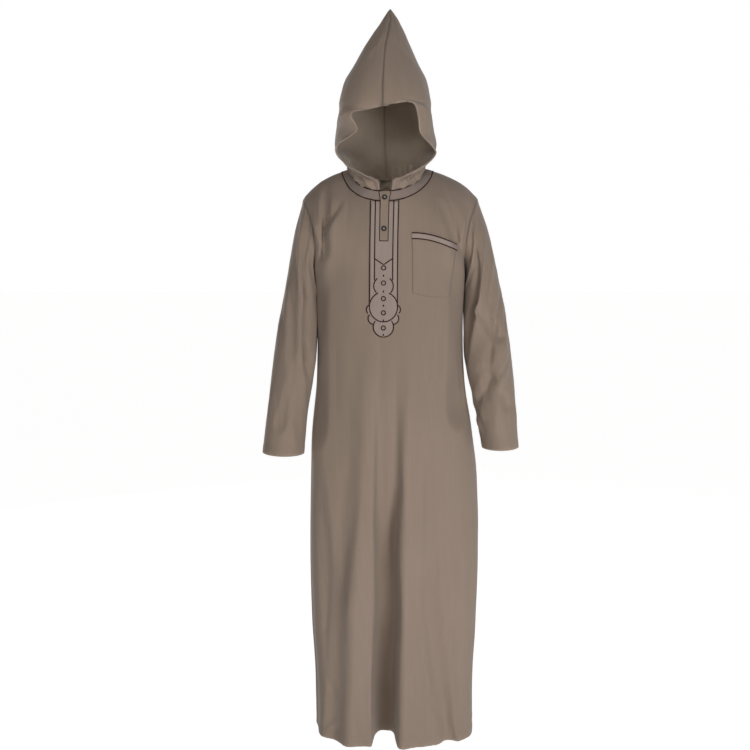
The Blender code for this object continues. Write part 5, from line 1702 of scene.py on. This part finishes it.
def button_mesh(name):
    points, faces = [], []
    for radius, height in BUTTON_PROFILE:
        for k in range(BUTTON_STEPS):
            turn = math.tau * k / BUTTON_STEPS
            away = radius * BUTTON_RADIUS
            points.append((away * math.cos(turn), away * math.sin(turn), height * BUTTON_HEIGHT))
    rings = len(BUTTON_PROFILE)
    for i in range(rings - 1):
        for k in range(BUTTON_STEPS):
            a, b = i * BUTTON_STEPS + k, i * BUTTON_STEPS + (k + 1) % BUTTON_STEPS
            faces.append((a, a + BUTTON_STEPS, b + BUTTON_STEPS, b))
    mesh = bpy.data.meshes.new(name)
    mesh.from_pydata(points, [], faces)
    mesh.materials.append(button_rim)
    mesh.materials.append(button_middle)
    in_middle = np.arange(len(faces)) // BUTTON_STEPS < RIM_FROM
    mesh.polygons.foreach_set("material_index", in_middle.astype(int))
    mesh.shade_smooth()
    welded(mesh)
    return mesh


def sewn_button(name, z):
    place, normal = front.from_front(centre(z), z, STRIP_LIFT + 0.5 * MM)
    made = bpy.data.objects.new(name, button_mesh(name))
    made.location = place
    made.rotation_mode = "QUATERNION"
    made.rotation_quaternion = normal.to_track_quat("Z", "Y")
    bpy.context.scene.collection.objects.link(made)
    return made


BUTTON_DROPS = {"button_top": 0.0165, "button_low": 0.0888}
buttons = {
    name: sewn_button(name + "_turned", NECK_FRONT_Z - drop) for name, drop in BUTTON_DROPS.items()
}
print("two buttons are sewn on")

# %% [markdown]
# ## The floor
# The garment hangs as its wearer carries it, a few centimetres clear of a pale floor.

# %% Floor
FLOOR_Z, FLOOR_SIZE = -1.47, 40.0
ends = (-FLOOR_SIZE, FLOOR_SIZE)
floor = grid_object("floor", xyz(*np.meshgrid(ends, ends), FLOOR_Z))
floor.data.materials.append(floor_paint)
floor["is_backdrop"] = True
print("the floor lies at", FLOOR_Z, "m")

# %% [markdown]
# ## Joining everything to the frame
# Every piece rides on the garment's one body, and the solid that it stands for is hidden. The table
# below also lists each piece's finish and its flat size when it was cut.

# %% Pieces and solids
CUT = {
    # the solids a piece stands for, its finish, its flat width and length, and its area
    # unless it is a plain rectangle
    "front_panel_cloth": (("front_panel",), "cloth", (0.72, 1.44), 0.84),
    "back_panel_cloth": (("back_panel",), "cloth", (0.72, 1.44), 0.81),
    "sleeve_left_cloth": (("sleeve_left",), "cloth", (0.42, 0.64), 0.20),
    "sleeve_right_cloth": (("sleeve_right",), "cloth", (0.42, 0.64), 0.20),
    "hood_left_cloth": (("hood_left",), "cloth", (0.36, 0.52), 0.118),
    "hood_right_cloth": (("hood_right",), "cloth", (0.36, 0.52), 0.118),
    "neck_band_cloth": (("neck_band_front", "neck_band_back"), "trim", (0.64, 0.023), None),
    "chest_facing_cloth": (("chest_facing",), "trim", (0.082, 0.316), 0.021),
    "placket_strip_cloth": (("placket_strip",), "cloth", (0.028, 0.118), None),
    "pocket_cloth": (("pocket",), "cloth", (0.107, 0.145), None),
    "pocket_band_cloth": (("pocket_band",), "trim", (0.110, 0.0145), None),
}
for name, (nodes, finish, flat, area) in CUT.items():
    piece = bpy.data.objects[name]
    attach(piece, "root")
    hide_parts(*nodes)
for node, piece in buttons.items():
    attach(piece, "root")
    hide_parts(node)
SEWN = ((ornament, "trim"), (zigzags, "trim"), (topstitching, "cloth"))
for piece, finish in SEWN:
    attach(piece, "root")
print(len(CUT) + len(buttons) + len(SEWN), "pieces ride on the garment")

# %% Sizes, and the end
dressed_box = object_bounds()
for axis, letter in enumerate("xyz"):
    grown = [dressed_box[end][axis] - solid_box[end][axis] for end in (0, 1)]
    print(letter, "grew by", [round(1000 * g, 1) for g in grown], "mm")
